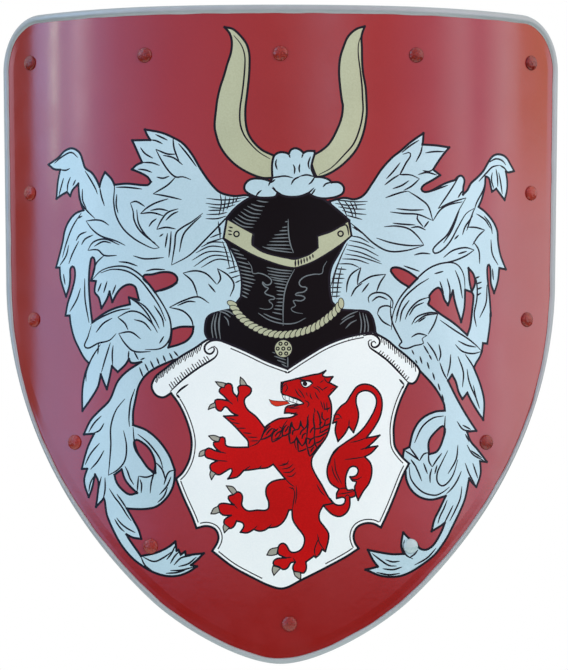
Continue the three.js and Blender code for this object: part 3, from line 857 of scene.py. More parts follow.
def slice_along(bm: bmesh.types.BMesh, axis: int, places: list[float]) -> None:
    """Cuts faces across an axis, so that the mesh can bend there.

    Args:
        bm: The mesh.
        axis: 0, 1 or 2 for X, Y or Z.
        places: Where it is cut.
    """
    normal = Vector((0, 0, 0))
    normal[axis] = 1.0
    for place in places:
        bmesh.ops.bisect_plane(bm, geom=bm.verts[:] + bm.edges[:] + bm.faces[:], dist=0.0001,
                               plane_co=normal * place, plane_no=normal)


def polygon(points: list[Flat]) -> bmesh.types.BMesh:
    """Starts a flat face from its corners, given across and up.

    Args:
        points: The corners in order.

    Returns:
        The face, in the XZ plane, looking to -Y.
    """
    bm = bmesh.new()
    face = bm.faces.new([bm.verts.new((x, 0.0, z)) for x, z in points])
    face.normal_update()
    if face.normal.y > 0:
        face.normal_flip()
    return bm


def seat(bm: bmesh.types.BMesh, s: float, z: float) -> bmesh.types.BMesh:
    """Sets a mesh made about its own Y axis square on the shield.

    Args:
        bm: The mesh, in millimetres.
        s: Where it goes round the curve.
        z: Its height.

    Returns:
        The same mesh in the shared frame.
    """
    turn = Matrix.Rotation(ROLL.plan(s)[2], 4, "Z")
    where = Matrix.Translation(ROLL.place(s, 0.0, z))
    bmesh.ops.transform(bm, verts=bm.verts, matrix=where @ turn @ Matrix.Scale(MM, 4))
    return bm


def rings(bm: bmesh.types.BMesh, path: list[list[Vector]]) -> list[list[bmesh.types.BMEdge]]:
    """Adds rings of points to a mesh and bridges each to the next.

    Args:
        bm: The mesh.
        path: The rings, each with the same number of points.

    Returns:
        The edges of each ring.
    """
    loops = []
    for points in path:
        verts = [bm.verts.new(point) for point in points]
        loops.append([bm.edges.new(pair) for pair in zip(verts, verts[1:] + verts[:1])])
    for near, far in zip(loops, loops[1:]):
        bmesh.ops.bridge_loops(bm, edges=near + far)
    return loops


def flat_sheet(insets: tuple[Flat, ...], column: float, facing: float) -> bmesh.types.BMesh:
    """Lays out a flat sheet inside the outline, cut into columns so that it can be rolled.

    Args:
        insets: For each ring how far it lies inside the edge, and its depth; the last one is filled.
        column: The width of a column.
        facing: -1 where the sheet looks to the front, and 1 where it looks back.

    Returns:
        The sheet, in millimetres.
    """
    bm = bmesh.new()
    path = [[Vector((s, depth, z)) for s, z in (point.inset(inset) for point in OUTLINE.closed())]
            for inset, depth in insets]
    bmesh.ops.contextual_create(bm, geom=rings(bm, path)[-1])
    half = math.floor(max(point.x for point in path[0]) / column)
    slice_along(bm, 0, [column * i for i in range(-half, half + 1)])
    bmesh.ops.recalc_face_normals(bm, faces=bm.faces)
    if sum(face.normal.y * face.calc_area() for face in bm.faces) * facing < 0:
        bmesh.ops.reverse_faces(bm, faces=bm.faces)
    return bm


def sweep(path: list[list[Vector]]) -> bmesh.types.BMesh:
    """Bridges rings of points into a closed band.

    Args:
        path: The rings, each with the same number of points.

    Returns:
        The band, whose last ring meets the first.
    """
    bm = bmesh.new()
    loops = rings(bm, path)
    bmesh.ops.bridge_loops(bm, edges=loops[-1] + loops[0])
    bmesh.ops.recalc_face_normals(bm, faces=bm.faces)
    return bm


# The camera, and the drawing that is laid out in its view


@dataclass(frozen=True)
class Viewpoint:
    """The camera, level and square to the shield, and the places that its view gives."""

    across: float = 3.7
    distance: float = 2150.0
    height: float = -0.8
    per_pixel: float = 1.0606
    frame_size: tuple[int, int] = (568, 670)
    sensor: float = 24.0
    far_end: float = 20.0
    reach: int = 330

    @property
    def focal(self) -> float:
        """Returns the focal length in pixels."""
        return self.distance / self.per_pixel

    def flat(self, spots: numpy.ndarray) -> numpy.ndarray:
        """Lays spots of the view flat on the shield's face.

        Args:
            spots: Rows of across and down, in pixels of the frame.

        Returns:
            Rows of s and z in millimetres.
        """
        run = numpy.arange(-self.reach, self.reach + 1.0)
        plan = numpy.array([ROLL.plan(s)[:2] for s in run])
        seen = (plan[:, 0] - self.across) * self.focal / (self.distance + plan[:, 1])
        s = numpy.interp(spots[:, 0] - self.frame_size[0] / 2, seen, run)
        far = self.distance + numpy.interp(s, run, plan[:, 1])
        z = self.height - (spots[:, 1] - self.frame_size[1] / 2) * far / self.focal
        return numpy.column_stack((s, z))

    def build(self) -> None:
        """Makes the camera."""
        camera = bpy.data.cameras.new("camera")
        camera.sensor_fit = "VERTICAL"
        camera.sensor_height = self.sensor
        camera.lens = self.sensor * self.focal / self.frame_size[1]
        camera.clip_end = self.far_end
        view = bpy.data.objects.new("camera", camera)
        view.location = Vector((self.across, ROLL.front - self.distance, ROLL.middle + self.height)) * MM
        view.rotation_euler = (math.pi / 2, 0, 0)
        bpy.context.scene.collection.objects.link(view)
        bpy.context.scene.camera = view


def circle(sides: int) -> numpy.ndarray:
    """Returns places round a circle of radius 1."""
    turn = numpy.linspace(0, math.tau, sides, endpoint=False)
    return numpy.column_stack((numpy.cos(turn), numpy.sin(turn)))


@dataclass
class Drawing:
    """The painted arms: shapes laid one over another, then cut into one flat film for each paint."""

    view: Viewpoint
    step: float = 3.0
    column: float = 5.0
    tolerance: float = 0.001
    corner_share: float = 0.5
    taper: float = 0.3
    taper_power: float = 0.7
    dot_sides: int = 24
    strand_sides: int = 20
    strand_slant: float = math.radians(38)
    strand_share: float = 0.46
    fringe_tip: float = 0.85
    fringe_waver: float = 0.2
    fringe_turn: float = 2.4
    sheets: dict[int, tuple[float, float, float]] = field(default_factory=lambda: {
        0: (0, 0, 5.521), 1: (284, 0, 5.521), 2: (0, 100, 5.521), 3: (284, 100, 5.521), 4: (0, 300, 5.521),
        5: (284, 300, 5.521), 6: (0, 480, 5.521), 7: (284, 480, 5.521), 16: (215, 135, 6.969),
        17: (190, 365, 6.973), 18: (270, 365, 6.973), 19: (190, 150, 3.6), 20: (250, 365, 10),
        21: (345, 325, 10), 22: (190, 325, 12)})
    layers: list[tuple[Finish, numpy.ndarray]] = field(default_factory=list)

    def shapes(self, table: str) -> list[tuple[numpy.ndarray, list[bool]]]:
        """Reads the shapes of a table.

        Args:
            table: Places on numbered sheets: @ turns to a sheet, ! marks a sharp corner, / ends a shape.

        Returns:
            For each shape its places in millimetres, and which of them are sharp.
        """
        read, spots, sharp = [], [], []
        left, top, scale = self.sheets[0]
        for word in table.split() + ["/"]:
            if word[0] == "@":
                left, top, scale = self.sheets[int(word[1:])]
            elif word == "/":
                if spots:
                    read.append((self.view.flat(numpy.array(spots)), sharp))
                spots, sharp = [], []
            else:
                across, down = (float(number) for number in word.rstrip("!").split(","))
                spots.append((left + across / scale, top + down / scale))
                sharp.append(word[-1] == "!")
        return read

    def smooth(self, places: numpy.ndarray, sharp: list[bool], closed: bool) -> list[numpy.ndarray]:
        """Draws smooth runs through places, broken at the sharp ones.

        Args:
            places: The places.
            sharp: Which of them are sharp.
            closed: Whether the last leads back to the first.

        Returns:
            The runs, each from one break to the next.
        """
        count = len(places)
        if closed and any(sharp):
            first = sharp.index(True)
            places = numpy.roll(places, -first, axis=0)
            sharp = sharp[first:] + sharp[:first]
        order = list(range(count)) + ([0] if closed else [])
        runs, run = [], [places[0]]
        for near, far in zip(order, order[1:]):
            a, b = places[near], places[far]
            gap = float(numpy.linalg.norm(b - a))
            if gap < self.tolerance:
                continue
            before = a if sharp[near] or (near == 0 and not closed) else places[near - 1]
            after = b if sharp[far] or (far == count - 1 and not closed) else places[(far + 1) % count]
            steps = max(1, math.ceil(gap / self.step))
            run += [self._between(before, a, b, after, i / steps) for i in range(1, steps + 1)]
            if sharp[far]:
                runs.append(numpy.array(run))
                run = [b]
        if len(run) > 1:
            runs.append(numpy.array(run))
        return runs

    def _between(self, before: numpy.ndarray, a: numpy.ndarray, b: numpy.ndarray, after: numpy.ndarray,
                 share: float) -> numpy.ndarray:
        """Finds a place between two others.

        Args:
            before: The place before them.
            a: The first of the two.
            b: The second.
            after: The place after them.
            share: The share of the way from a to b.

        Returns:
            The place.
        """
        gap = float(numpy.linalg.norm(b - a))
        start, end = (way * gap / max(float(numpy.linalg.norm(way)), self.tolerance)
                      for way in (b - before, after - a))
        return between(a, start, b, end, share)

    def lay(self, finish: Finish, places: numpy.ndarray) -> None:
        """Lays one filled shape over what is there."""
        self.layers.append((finish, places))

    def fill(self, finish: Finish, table: str, line: float) -> None:
        """Fills the shapes of a table and draws round them.

        Args:
            finish: What fills them; the field's own finish leaves it bare.
            table: The shapes.
            line: The width of the line round them, or 0 for none.
        """
        for places, sharp in self.shapes(table):
            runs = self.smooth(places, sharp, closed=True)
            self.lay(finish, numpy.concatenate([run[:-1] for run in runs]))
            if line:
                for run in runs:
                    self.lay(Finish.INK, self.band(run, line, 1.0, line * self.corner_share))

    def strokes(self, finish: Finish, table: str, width: float, tip: float = 0.35) -> None:
        """Draws the lines of a table.

        Args:
            finish: What they are drawn in.
            table: The lines.
            width: Their width.
            tip: The share of the width that is left at the ends.
        """
        for places, sharp in self.shapes(table):
            for run in self.smooth(places, sharp, closed=False):
                self.lay(finish, self.band(run, width, tip))

    def dots(self, finish: Finish, table: str, radius: float, line: float = 0.0) -> list[numpy.ndarray]:
        """Draws round dots.

        Args:
            finish: What they are filled with.
            table: Their middles.
            radius: Their radius.
            line: The width of the line round them, which lies inside.

        Returns:
            Their middles in millimetres.
        """
        ring = circle(self.dot_sides)
        middles = [place for places, _ in self.shapes(table) for place in places]
        for middle in middles:
            if line:
                self.lay(Finish.INK, middle + ring * radius)
            self.lay(finish, middle + ring * (radius - line))
        return middles

    def band(self, run: numpy.ndarray, width: float, tip: float, over: float = 0.0) -> numpy.ndarray:
        """Widens a line into a shape.

        Args:
            run: The line's places.
            width: Its full width.
            tip: The share of the width at its ends.
            over: How far it runs past its ends.

        Returns:
            The shape's places.
        """
        way = numpy.diff(run, axis=0)
        length = numpy.linalg.norm(way, axis=1)
        way = way / numpy.maximum(length, self.tolerance)[:, None]
        run = run.copy()
        run[0] -= way[0] * over
        run[-1] += way[-1] * over
        lead = numpy.vstack((way[:1], way[:-1] + way[1:], way[-1:]))
        lead /= numpy.maximum(numpy.linalg.norm(lead, axis=1), self.tolerance)[:, None]
        along = numpy.concatenate(((0.0,), numpy.cumsum(length)))
        share = along / max(along[-1], self.tolerance)
        inside = numpy.clip(numpy.minimum(share, 1 - share) / self.taper, 0, 1)
        swell = tip + (1 - tip) * inside ** self.taper_power
        side = numpy.column_stack((-lead[:, 1], lead[:, 0])) * (swell * width / 2)[:, None]
        return numpy.concatenate((run + side, (run - side)[::-1]))

    def rope(self, table: str, width: float, pitch: float, line: float) -> None:
        """Draws a twisted rope along the lines of a table, each strand over the one before.

        Args:
            table: The middle lines.
            width: The rope's width.
            pitch: The length of a strand's turn.
            line: The width of its drawn lines.
        """
        strand = circle(self.strand_sides)
        for places, sharp in self.shapes(table):
            for run in self.smooth(places, sharp, closed=False):
                way = numpy.diff(run, axis=0)
                length = numpy.linalg.norm(way, axis=1)
                along = numpy.concatenate(((0.0,), numpy.cumsum(length)))
                for at in numpy.linspace(0, along[-1], round(along[-1] / pitch) + 1):
                    i = max(0, min(int(numpy.searchsorted(along, at)) - 1, len(way) - 1))
                    lead = way[i] / length[i]
                    middle = run[i] + lead * (at - along[i])
                    side = numpy.array((-lead[1], lead[0]))
                    reach = lead * math.cos(self.strand_slant) + side * math.sin(self.strand_slant)
                    across = numpy.array((-reach[1], reach[0]))
                    for finish, extra in ((Finish.INK, line), (Finish.GOLD, 0.0)):
                        self.lay(finish, middle + numpy.outer(strand[:, 0], reach) * (width / 2 + extra)
                                 + numpy.outer(strand[:, 1], across) * (pitch * self.strand_share + extra))

    def fringe(self, finish: Finish, table: str, pitch: float, width: float) -> None:
        """Draws rows of short strokes, side by side along the lines of a table.

        Args:
            finish: What they are drawn in.
            table: The lines; the step to each one's last place is the stroke that is repeated.
            pitch: The distance from a stroke to the next.
            width: The strokes' width.
        """
        for places, sharp in self.shapes(table):
            reach = places[-1] - places[-2]
            for run in self.smooth(places[:-1], sharp[:-1], closed=False):
                length = numpy.linalg.norm(numpy.diff(run, axis=0), axis=1)
                along = numpy.concatenate(((0.0,), numpy.cumsum(length)))
                for number, at in enumerate(numpy.arange(pitch / 2, along[-1], pitch)):
                    foot = numpy.array([numpy.interp(at, along, run[:, i]) for i in (0, 1)])
                    tip = foot + reach * (1 + self.fringe_waver * math.sin(number * self.fringe_turn))
                    self.lay(finish, self.band(numpy.array((foot, tip)), width, self.fringe_tip))

    def cut(self) -> tuple[numpy.ndarray, numpy.ndarray, numpy.ndarray]:
        """Cuts the layers into triangles that don't overlap.

        Returns:
            The places, the triangles, and for each triangle the number of the finish on top, or -1.
        """
        spots: list[tuple[float, float]] = []
        edges: list[tuple[int, int]] = []
        for _, places in self.layers:
            start, count = len(spots), len(places)
            spots += [(float(s), float(z)) for s, z in places]
            edges += [(start + i, start + (i + 1) % count) for i in range(count)]
        low, high = numpy.min(spots, axis=0), numpy.max(spots, axis=0)
        columns = numpy.arange(math.ceil(low[0] / self.column), math.floor(high[0] / self.column) + 1)
        for s in columns * self.column:
            edges.append((len(spots), len(spots) + 1))
            spots += [(float(s), float(low[1])), (float(s), float(high[1]))]
        found, _, faces, *_ = delaunay_2d_cdt(
            [Vector(spot) for spot in spots], edges, [], 0, self.tolerance, False)
        corners = numpy.array([tuple(place) for place in found])
        triangles = numpy.array([tuple(face) for face in faces])
        middles = corners[triangles].mean(axis=1)
        owner = numpy.full(len(triangles), -1)
        kinds = list(Finish)
        for finish, places in self.layers:
            inside = numpy.all((middles >= places.min(axis=0)) & (middles <= places.max(axis=0)), axis=1)
            picked = numpy.flatnonzero(inside)
            if len(picked):
                hit = picked[self._within(middles[picked], places)]
                owner[hit] = -1 if finish is Finish.FIELD else kinds.index(finish)
        return corners, triangles, owner

    @staticmethod
    def _within(spots: numpy.ndarray, places: numpy.ndarray) -> numpy.ndarray:
        """Tells which spots a shape winds round.

        Args:
            spots: The spots.
            places: The shape's places.

        Returns:
            True for each spot inside.
        """
        winding = numpy.zeros(len(spots), dtype=int)
        for a, b in zip(places, numpy.roll(places, -1, axis=0)):
            side = (b[0] - a[0]) * (spots[:, 1] - a[1]) - (b[1] - a[1]) * (spots[:, 0] - a[0])
            up = (a[1] <= spots[:, 1]) & (b[1] > spots[:, 1]) & (side > 0)
            down = (a[1] > spots[:, 1]) & (b[1] <= spots[:, 1]) & (side < 0)
            winding += up.astype(int) - down.astype(int)
        return winding != 0

    def films(self, top: float, bottom: float) -> list[bpy.types.Object]:
        """Builds one closed film of paint for each finish.

        Args:
            top: The film's height over the painted face.
            bottom: How far it reaches into the sheet.

        Returns:
            The films.
        """
        corners, triangles, owner = self.cut()
        films = []
        for number, finish in enumerate(Finish):
            chosen = triangles[owner == number]
            if not len(chosen):
                continue
            bm = bmesh.new()
            used = {int(i): bm.verts.new((corners[i][0], -top, corners[i][1])) for i in numpy.unique(chosen)}
            for a, b, c in chosen:
                bm.faces.new((used[int(a)], used[int(b)], used[int(c)]))
            for vert in list(bm.verts):
                bmesh.utils.vert_separate(vert, [])
            thicken(bm, top + bottom)
            name = f"paint_{finish.name.lower()}"
            film = finished(name, bm, finish, "silver_enamel", smooth=None)
            roll(film)
            log.info("%s: %d faces", name, len(film.data.polygons))
            films.append(film)
        return films
LEFT_MANTLING = """
@2 1370,527 1290,530 1215,510 1165,462 1110,385 1060,300 1010,240 955,207 890,180 800,163! 812,192 830,221!
730,223! 748,262 785,345! 755,358 728,383! 775,402 815,425 833,452! 815,470 700,462 632,468! 615,435
580,398! 560,440 550,478! 530,435 505,400 470,375 458,340 440,292 400,267 360,280 320,320 268,357! 300,382
333,385! 320,450 312,545! 345,522 370,508! 388,530! 400,498 433,462! 437,520 450,580 462,608! 420,625
385,662 360,715 345,790 330,850 310,925! 330,925! 335,985 350,1040 365,1085! 382,1030 388,980 388,935
400,918 413,935 413,990 395,1060 375,1120 362,1190! @4 385,86! 392,140 410,210 435,265 465,320 492,350!
470,410 455,500 455,612! 500,548 540,480 557,410! 572,450 590,492! 605,430 618,365! 650,397! 690,360
712,325! 722,345 745,348 780,342! 700,395 650,450 605,553 550,610 500,665 463,742! 520,738! 490,800 470,860
452,932! 482,932! 466,985 470,1030 490,1088! 508,1040 525,963! 543,1000 541,1060 530,1142! 565,1105 @6
575,100 590,190 620,265 665,350 720,420 780,470 850,510 920,530 985,528 1040,508 1087,477! 1055,470!
1090,440 1125,405! 1060,412 1026,418! 1022,395! 998,412! 985,385! 975,390! 968,340! 930,370 880,395 840,408
778,420! 750,380 715,330 698,300! 735,318 780,325! 766,277 737,222 700,157! 740,160 800,160 860,148 910,110
945,60 @4 962,1000 965,938! 935,860 880,780 810,720 735,690! 735,620 748,550 768,470 810,410 870,370
950,335! 1100,290! 1230,150! @2 1340,1150! 1400,900! 1400,700! 1420,560!
"""
LEFT_GAPS = """
@2 790,975 840,963 900,950 950,955 978,980 975,1005 940,1030 855,1060! 825,1020 / @2 500,890 510,867 523,885
522,930 503,997! 530,1000! 523,1060 545,1090 560,1150! 590,1100 605,1058! 620,1115! 650,1060 680,1030
715,1018 745,1030 757,1062 767,1105! 712,1090! 718,1128! 640,1148 575,1178 510,1228! 500,1150 492,1050
492,960 / @4 948,162! 1000,148 1068,148! 1062,185 1035,222 990,245 930,262! 943,215 / @4 745,775 790,790
830,830 855,890 858,955! 820,930 780,875 748,825 / @4 632,965! 672,935! 690,990 720,1030 757,1065! 715,1074
670,1042 643,1005
"""
LEFT_LINES = """
@2 300,350 345,312 395,290 430,318 / 333,385 365,388 387,377 / 352,430 338,480 325,530 / 390,425 375,465
372,508 / 418,440 402,475 / 470,392 500,440 530,495 538,520 / 550,478 560,530 577,585 / 620,432 632,475
628,560 642,640 680,710 740,765 800,800 850,820 880,815 / 880,815 840,780 800,740 765,680 755,605 / 720,568
735,615 740,660 765,712 810,757 860,792 / 720,568 752,560 800,588 / 645,520 642,580 652,625 / 640,482
700,482 785,492 / 970,425 925,470 845,518 / 845,518 915,530 1003,550 / 860,272 890,330 930,390 970,425
1010,424 1055,440 / 860,272 925,298 972,299 / 900,305 960,320 1008,358 / 955,207 960,260 972,299 990,340 /
985,240 1035,300 1085,368 / 832,221 860,224 898,242 / 858,190 890,205 925,222 / 775,262 800,295 845,322 /
785,345 840,347 882,362 / 760,382 800,386 840,400 / 865,425 900,432 935,420 / 930,545 860,568 812,595
775,628 / 775,628 840,622 905,640 / 830,610 880,602 930,612 / 985,600 925,622 890,665 865,715 / 865,715
915,703 970,712 / 915,665 950,632 985,615 / 1120,625 1060,672 1005,705 973,735 965,800 947,912 / 1112,640
1055,692 1012,745 990,840 / 925,735 912,815 / 945,725 940,800 932,870 / 880,755 902,738 / 822,700 838,675
865,655 / 947,912 1045,858 1130,775 1200,703 1260,642 1330,590 1380,545 / 433,462 440,550 475,605 525,655 /
455,490 457,555 478,600 / 475,668 530,662 570,670 602,692 / 475,668 510,715 560,752 640,778 692,803 /
420,778 440,745 478,727 / 450,800 470,768 515,745 / 660,800 580,768 515,785 485,830 / 485,830 540,828
575,858 645,858 / 520,808 570,782 615,790 / 575,858 530,905 503,995 / 735,860 800,877 905,870 / 505,997
560,942 640,918 710,925 780,970 840,1040 900,1130 940,1210 945,1270 / 555,955 620,935 700,945 765,985
820,1050 880,1140 915,1220 / 655,893 705,898 760,917 / 805,945 850,935 912,937 / 560,1010 540,1060 /
592,1000 572,1065 / 640,1020 620,1075 / 745,1105 800,1140 850,1205 880,1262 / 712,1090 770,1130 820,1190
850,1250 / 450,622 400,702 365,795 345,870 / 380,800 365,860 330,915 / 435,780 400,850 380,905 / 455,640
425,655 / 468,985 470,1100 492,1230 / 445,1040 425,1100 385,1170 / 350,960 360,1020 / 1010,955 1080,943
1140,960 1197,1018 / 1010,955 1060,1000 1085,1060 1090,1085 / 1200,930 1218,985 1200,1018 / 1200,930
1262,970 1292,1020 1270,1085 / 1150,1015 1190,1062 / 1155,1122 1095,1087 1020,1105 935,1145 / 935,1145
1010,1165 1055,1210 1070,1268 / 980,1135 1040,1112 1080,1115 / 885,1057 940,1035 982,1010 / @4 500,135
560,95 650,58 718,48 / 505,140 487,200 472,262 545,238 605,222 642,185 / 650,95 690,130 707,165 / 650,95
720,62 780,75 840,130 870,180 / 655,185 690,240 740,283 832,285 / 655,185 722,177 777,215 / 740,108 795,125
835,170 / 885,0 932,90 945,160 932,225 888,267 800,275 / 850,30 895,100 905,150 / 905,200 880,240 / 530,180
570,130 620,100 / 555,245 505,325 478,395 475,450 / 545,240 540,300 / 610,235 580,330 560,400 / 625,250
620,300 622,360 / 712,280 708,325 / 740,285 765,330 / 775,330 800,320 / 770,372 790,425 / 800,352 820,395 /
830,335 850,380 / 865,318 880,358 / 900,305 915,342 / 935,292 955,330 / 960,282 985,312 / 690,545 640,610
612,700 612,800 605,900 598,968 / 598,968 650,937 690,885 698,800 682,720 / 745,490 722,560 712,650 715,700
/ 735,700 742,780 765,850 800,905 850,965 / 720,560 715,620 / 560,640 520,680 490,730 / 575,680 550,720
515,735 / 550,790 500,850 470,910 / 575,830 540,890 500,935 / 520,970 500,1010 490,1060 / 560,975 545,1040
540,1100 / 580,980 580,1050 568,1105 / 690,918 704,945 718,985 739,1020 / 765,972 757,1060 / 765,972 812,978
858,958 / 858,895 848,960 835,1010 829,1068 / 858,895 895,935 915,998 / 965,938 930,952 905,1020 / 773,990
782,1020 779,1066 / 880,1075 920,1030 945,975 / 760,740 820,790 880,870 900,930 / @6 603,47 617,70 633,95
654,121 679,157 700,192 725,226 / 645,77 661,100 679,125 700,160 / 644,208 660,231 684,254 711,272 748,291 /
633,215 647,240 665,265 688,286 / 778,422 800,470 850,510 / 870,125 905,90 925,40 / 790,425 850,450 900,430
950,395 / 920,440 950,400 968,360 / 940,462 965,420 990,395 / 960,470 1000,430 1060,418 / 985,478 1040,462
1085,425 / 940,500 1000,498 1070,480 / 915,515 970,512 1020,500
"""
LEFT_HATCH = """
@2 1140,543 1240,552 1362,537 / 1135,570 1220,578 1330,556 / 1150,590 1225,597 1300,578 / 1150,610 1230,608
/ 1140,632 1210,630 1255,620 / 1135,655 1200,655 1250,640 / 1215,515 1222,570 1208,638 / 1245,530 1240,580
1230,625 / 1270,535 1262,575 1252,605 / 1292,535 1283,580 / 1312,535 1300,565 / 1160,760 1225,735 / 1140,790
1235,762 / 1110,812 1170,785 1240,787 / 1080,845 1160,808 1248,815 / 1060,885 1150,838 1265,843 / 1070,920
1170,860 1280,868 / 1110,925 1200,880 1295,893 / 1250,932 1310,918 / 1262,957 1320,942 / 1270,985 1325,967 /
1298,1010 1328,995 / 1215,700 1215,770 / 1228,780 1252,850 1268,930 / 1250,790 1278,860 1300,950 / 1205,670
1212,740
"""
RIGHT_MANTLING = """
@3 330,540 390,548 440,525 490,455 540,380 600,315 640,284 700,232 770,183! 768,220 764,246! 840,251
912,262! 880,300 850,342 823,384! 862,415! 820,442 772,470 758,492 775,508 815,500 860,475 900,456 945,442!
958,425 980,418 996,442 990,480 988,522! 1012,498 1032,460 1065,430 1100,392 1130,340 1155,308 1190,300
1225,316 1248,352 1270,392! 1240,400 1224,395! 1232,450 1230,500 1218,552! 1190,515 1172,490! 1148,506!
1140,470 1130,430 1112,422! 1108,480 1092,545 1074,590! 1112,620 1152,668 1176,720 1182,790 1196,860
1225,935! 1188,928! 1180,1000 1160,1066! 1142,1010 1140,950 1132,908 1122,925 1125,1000 1136,1100 1142,1200
@5 1140,60 1138,120 1122,241! 1098,238! 1092,284! 1080,315 1060,348 1048,374! 1085,470 1105,560 1100,662!
1065,610 1030,550 1012,512! 985,547! 965,510 948,450 928,412! 905,446! 960,555 1012,645 1062,722! 1010,727!
1030,780 1068,825 1120,894! 1082,890! 1085,960 1062,1032! 1040,1010 1022,985! 1017,1010 @7 1009,60 997,110
972,171 936,246 901,316 885,341 846,396 816,427 765,466 695,510 630,532 540,530 450,495! 482,488 518,478!
490,440 463,386! 520,398 600,410 660,408! 648,370 650,330 658,290! 690,322 733,352! 750,378 785,385 822,362
852,318 878,265 888,236! 860,256 815,283! 830,220 860,158 893,88! @5 815,1102 750,1088 700,1045 675,990
670,935 657,875 662,826! 692,812! 715,722 760,656 830,618 888,611! 882,570 830,480 745,385! 600,270!
450,200! 400,120! @3 300,1150! 260,1000! 250,800! 300,650! 250,560!
"""
RIGHT_GAPS = """
@3 590,935 620,924 680,945 737,985! 690,1033! 640,1002 603,965 / @3 802,1080 850,1036 872,1060 885,1100
905,1132! 920,1090 932,1052! 945,1120 978,1226! 995,1150 1000,1048! 1036,1060! 1046,1080 1040,1150 1028,1250
@5 1012,194! 940,130 860,75 800,28! @3 796,1125! 805,1100 / @3 1018,928! 1045,960 1055,1010 1036,1060!
1024,1000 / @5 884,700 840,724 800,780 800,852! 845,835 875,775
"""
RIGHT_LINES = """
@3 650,290 700,250 745,222 / 764,246 755,290 728,342 / 655,300 698,295 672,350 640,412 640,412 700,414
748,435 / 748,435 705,475 660,500 / 555,470 600,435 638,412 / 565,435 600,398 642,345 / 600,490 650,472
690,445 / 740,412 790,400 845,415 / 765,390 800,395 822,384 / 780,292 830,285 885,285 / 800,510 850,490
905,470 / 560,540 640,512 685,503 / 685,503 750,545 795,585 822,668 / 822,668 860,610 905,580 985,562 /
965,425 915,505 850,600 / 850,600 920,567 1005,540 / 1005,540 965,610 930,690 900,745 850,792 822,826
832,846 872,830 918,780 962,700 1005,628 1050,598 / 968,610 925,720 880,790 / 620,600 700,608 772,606 /
585,618 660,627 740,632 820,665 / 740,632 735,655 768,700 / 600,680 660,686 725,690 / 552,700 620,696
690,712 740,755 772,800 / 772,800 700,804 600,790 510,762 / 355,670 420,722 500,795 580,835 680,830 772,803
/ 700,706 740,700 782,718 / 718,856 762,846 808,850 / 772,705 800,668 / 1112,430 1102,490 1062,570 1050,610
/ 1050,600 1022,680 1008,722 / 1008,702 1060,704 1108,718 / 1108,718 1072,752 1040,802 / 985,745 1000,700
1042,640 / 940,770 965,745 / 880,870 930,832 1000,815 1050,828 / 1050,828 1000,862 930,890 850,905 / 960,850
1010,835 / 1045,782 1075,830 1080,905 / 1142,770 1150,850 1182,912 / 1062,628 1110,662 1140,710 / 592,1268
602,1180 642,1090 720,1000 800,930 880,900 950,905 990,960 1000,1050 / 615,1230 652,1110 730,1030 800,985 /
830,960 880,945 / 900,985 916,1050 910,1110 / 945,940 968,1000 985,1095 / 860,1000 882,1070 / 1042,950
1062,1000 1066,1080 1050,1185 / 1052,985 1080,975 / 1062,1015 1092,1005 / 1066,1045 1092,1035 / 1064,1080
1088,1065 / 1150,930 1156,995 / 1120,1020 1115,1120 1080,1202 / 1065,1100 1050,1180 1062,1252 / 1105,640
1140,690 1150,740 / 802,1088 742,1110 692,1160 668,1212 / 690,1190 722,1142 772,1118 / 720,1232 780,1190
865,1178 / 660,915 702,930 748,946 / 345,1062 350,1010 372,962 425,925 / 425,925 410,975 405,1020 / 405,1020
480,975 562,962 / 562,962 530,1010 510,1062 / 370,1085 395,1040 432,1012 / 430,1062 470,1010 / 470,1120
466,1090 500,1065 560,1070 600,1110 597,1150 / 485,1112 522,1086 572,1102 / 515,1180 530,1146 570,1136
602,1150 / 515,1180 545,1222 592,1250 / 1130,345 1170,325 1205,335 1225,360 / 1075,450 1120,400 1150,370
1190,360 / 1190,360 1215,375 1232,395 / 1150,400 1145,440 1158,490 / 1185,400 1195,450 1205,520 / 1170,380
1178,430 1180,480 / 985,500 960,540 / @5 590,0 588,60 600,130 640,212 650,232 635,252 672,268 722,252
770,238 762,215 790,196 / 790,196 740,186 702,206 / 640,120 652,60 692,0 / 705,136 732,95 800,70 850,70 /
850,70 830,130 795,190 / 740,122 782,95 / 620,90 640,30 / 860,110 940,166 1010,210 1060,250 1090,282 /
945,245 982,282 1040,296 1088,285 / 960,225 1010,250 1060,260 / 790,232 830,290 850,338 / 770,250 800,300 /
920,300 916,360 900,425 / 960,310 990,400 985,482 / 1010,380 1022,450 1062,550 / 1000,300 1040,360 1062,405
/ 855,245 865,300 855,338 / 1045,470 1060,540 1080,600 / 705,275 718,302 / 750,310 762,352 / 790,342 802,382
/ 820,400 832,442 / 850,460 862,502 / 872,520 882,562 / 725,330 735,350 / 800,300 815,330 / 860,345 880,402
905,446 / 890,640 886,700 880,760 860,820 / 955,670 990,716 1042,722 / 985,690 1032,715 / 1000,740 1022,782
/ 1010,800 1042,852 1102,886 / 1030,830 1092,872 / 1000,900 1022,960 1057,1022 / 1042,900 1070,985 / 960,800
950,880 905,960 / 905,830 870,900 845,960 850,1010 882,1025 930,972 960,880 / 662,828 715,862 748,888 /
748,888 772,850 798,843 / 798,843 800,890 818,922 / 818,922 845,880 872,845 / 690,915 702,990 762,1058
832,1078 875,1062 914,1032 / 770,900 792,960 / 718,900 745,960 760,1000 / 845,912 832,960 / 700,880 735,930
/ 692,812 748,888 / 720,790 762,702 822,652 882,640 / @7 901,110 881,160 861,201 849,241 / 982,36 973,100
946,165 914,228 / 934,138 916,176 896,216 884,241 / @5 896,1071 926,1041 952,1004 969,969 979,944 / 816,930
806,970 807,1010 / @7 712,436 672,412 660,372 664,330 / 690,430 720,410 740,385 / 485,405 530,440 580,472
622,475 / 545,490 602,495 652,480 / 510,510 580,523 642,515 / 560,440 600,452 640,448 / 720,470 790,430
840,375
"""
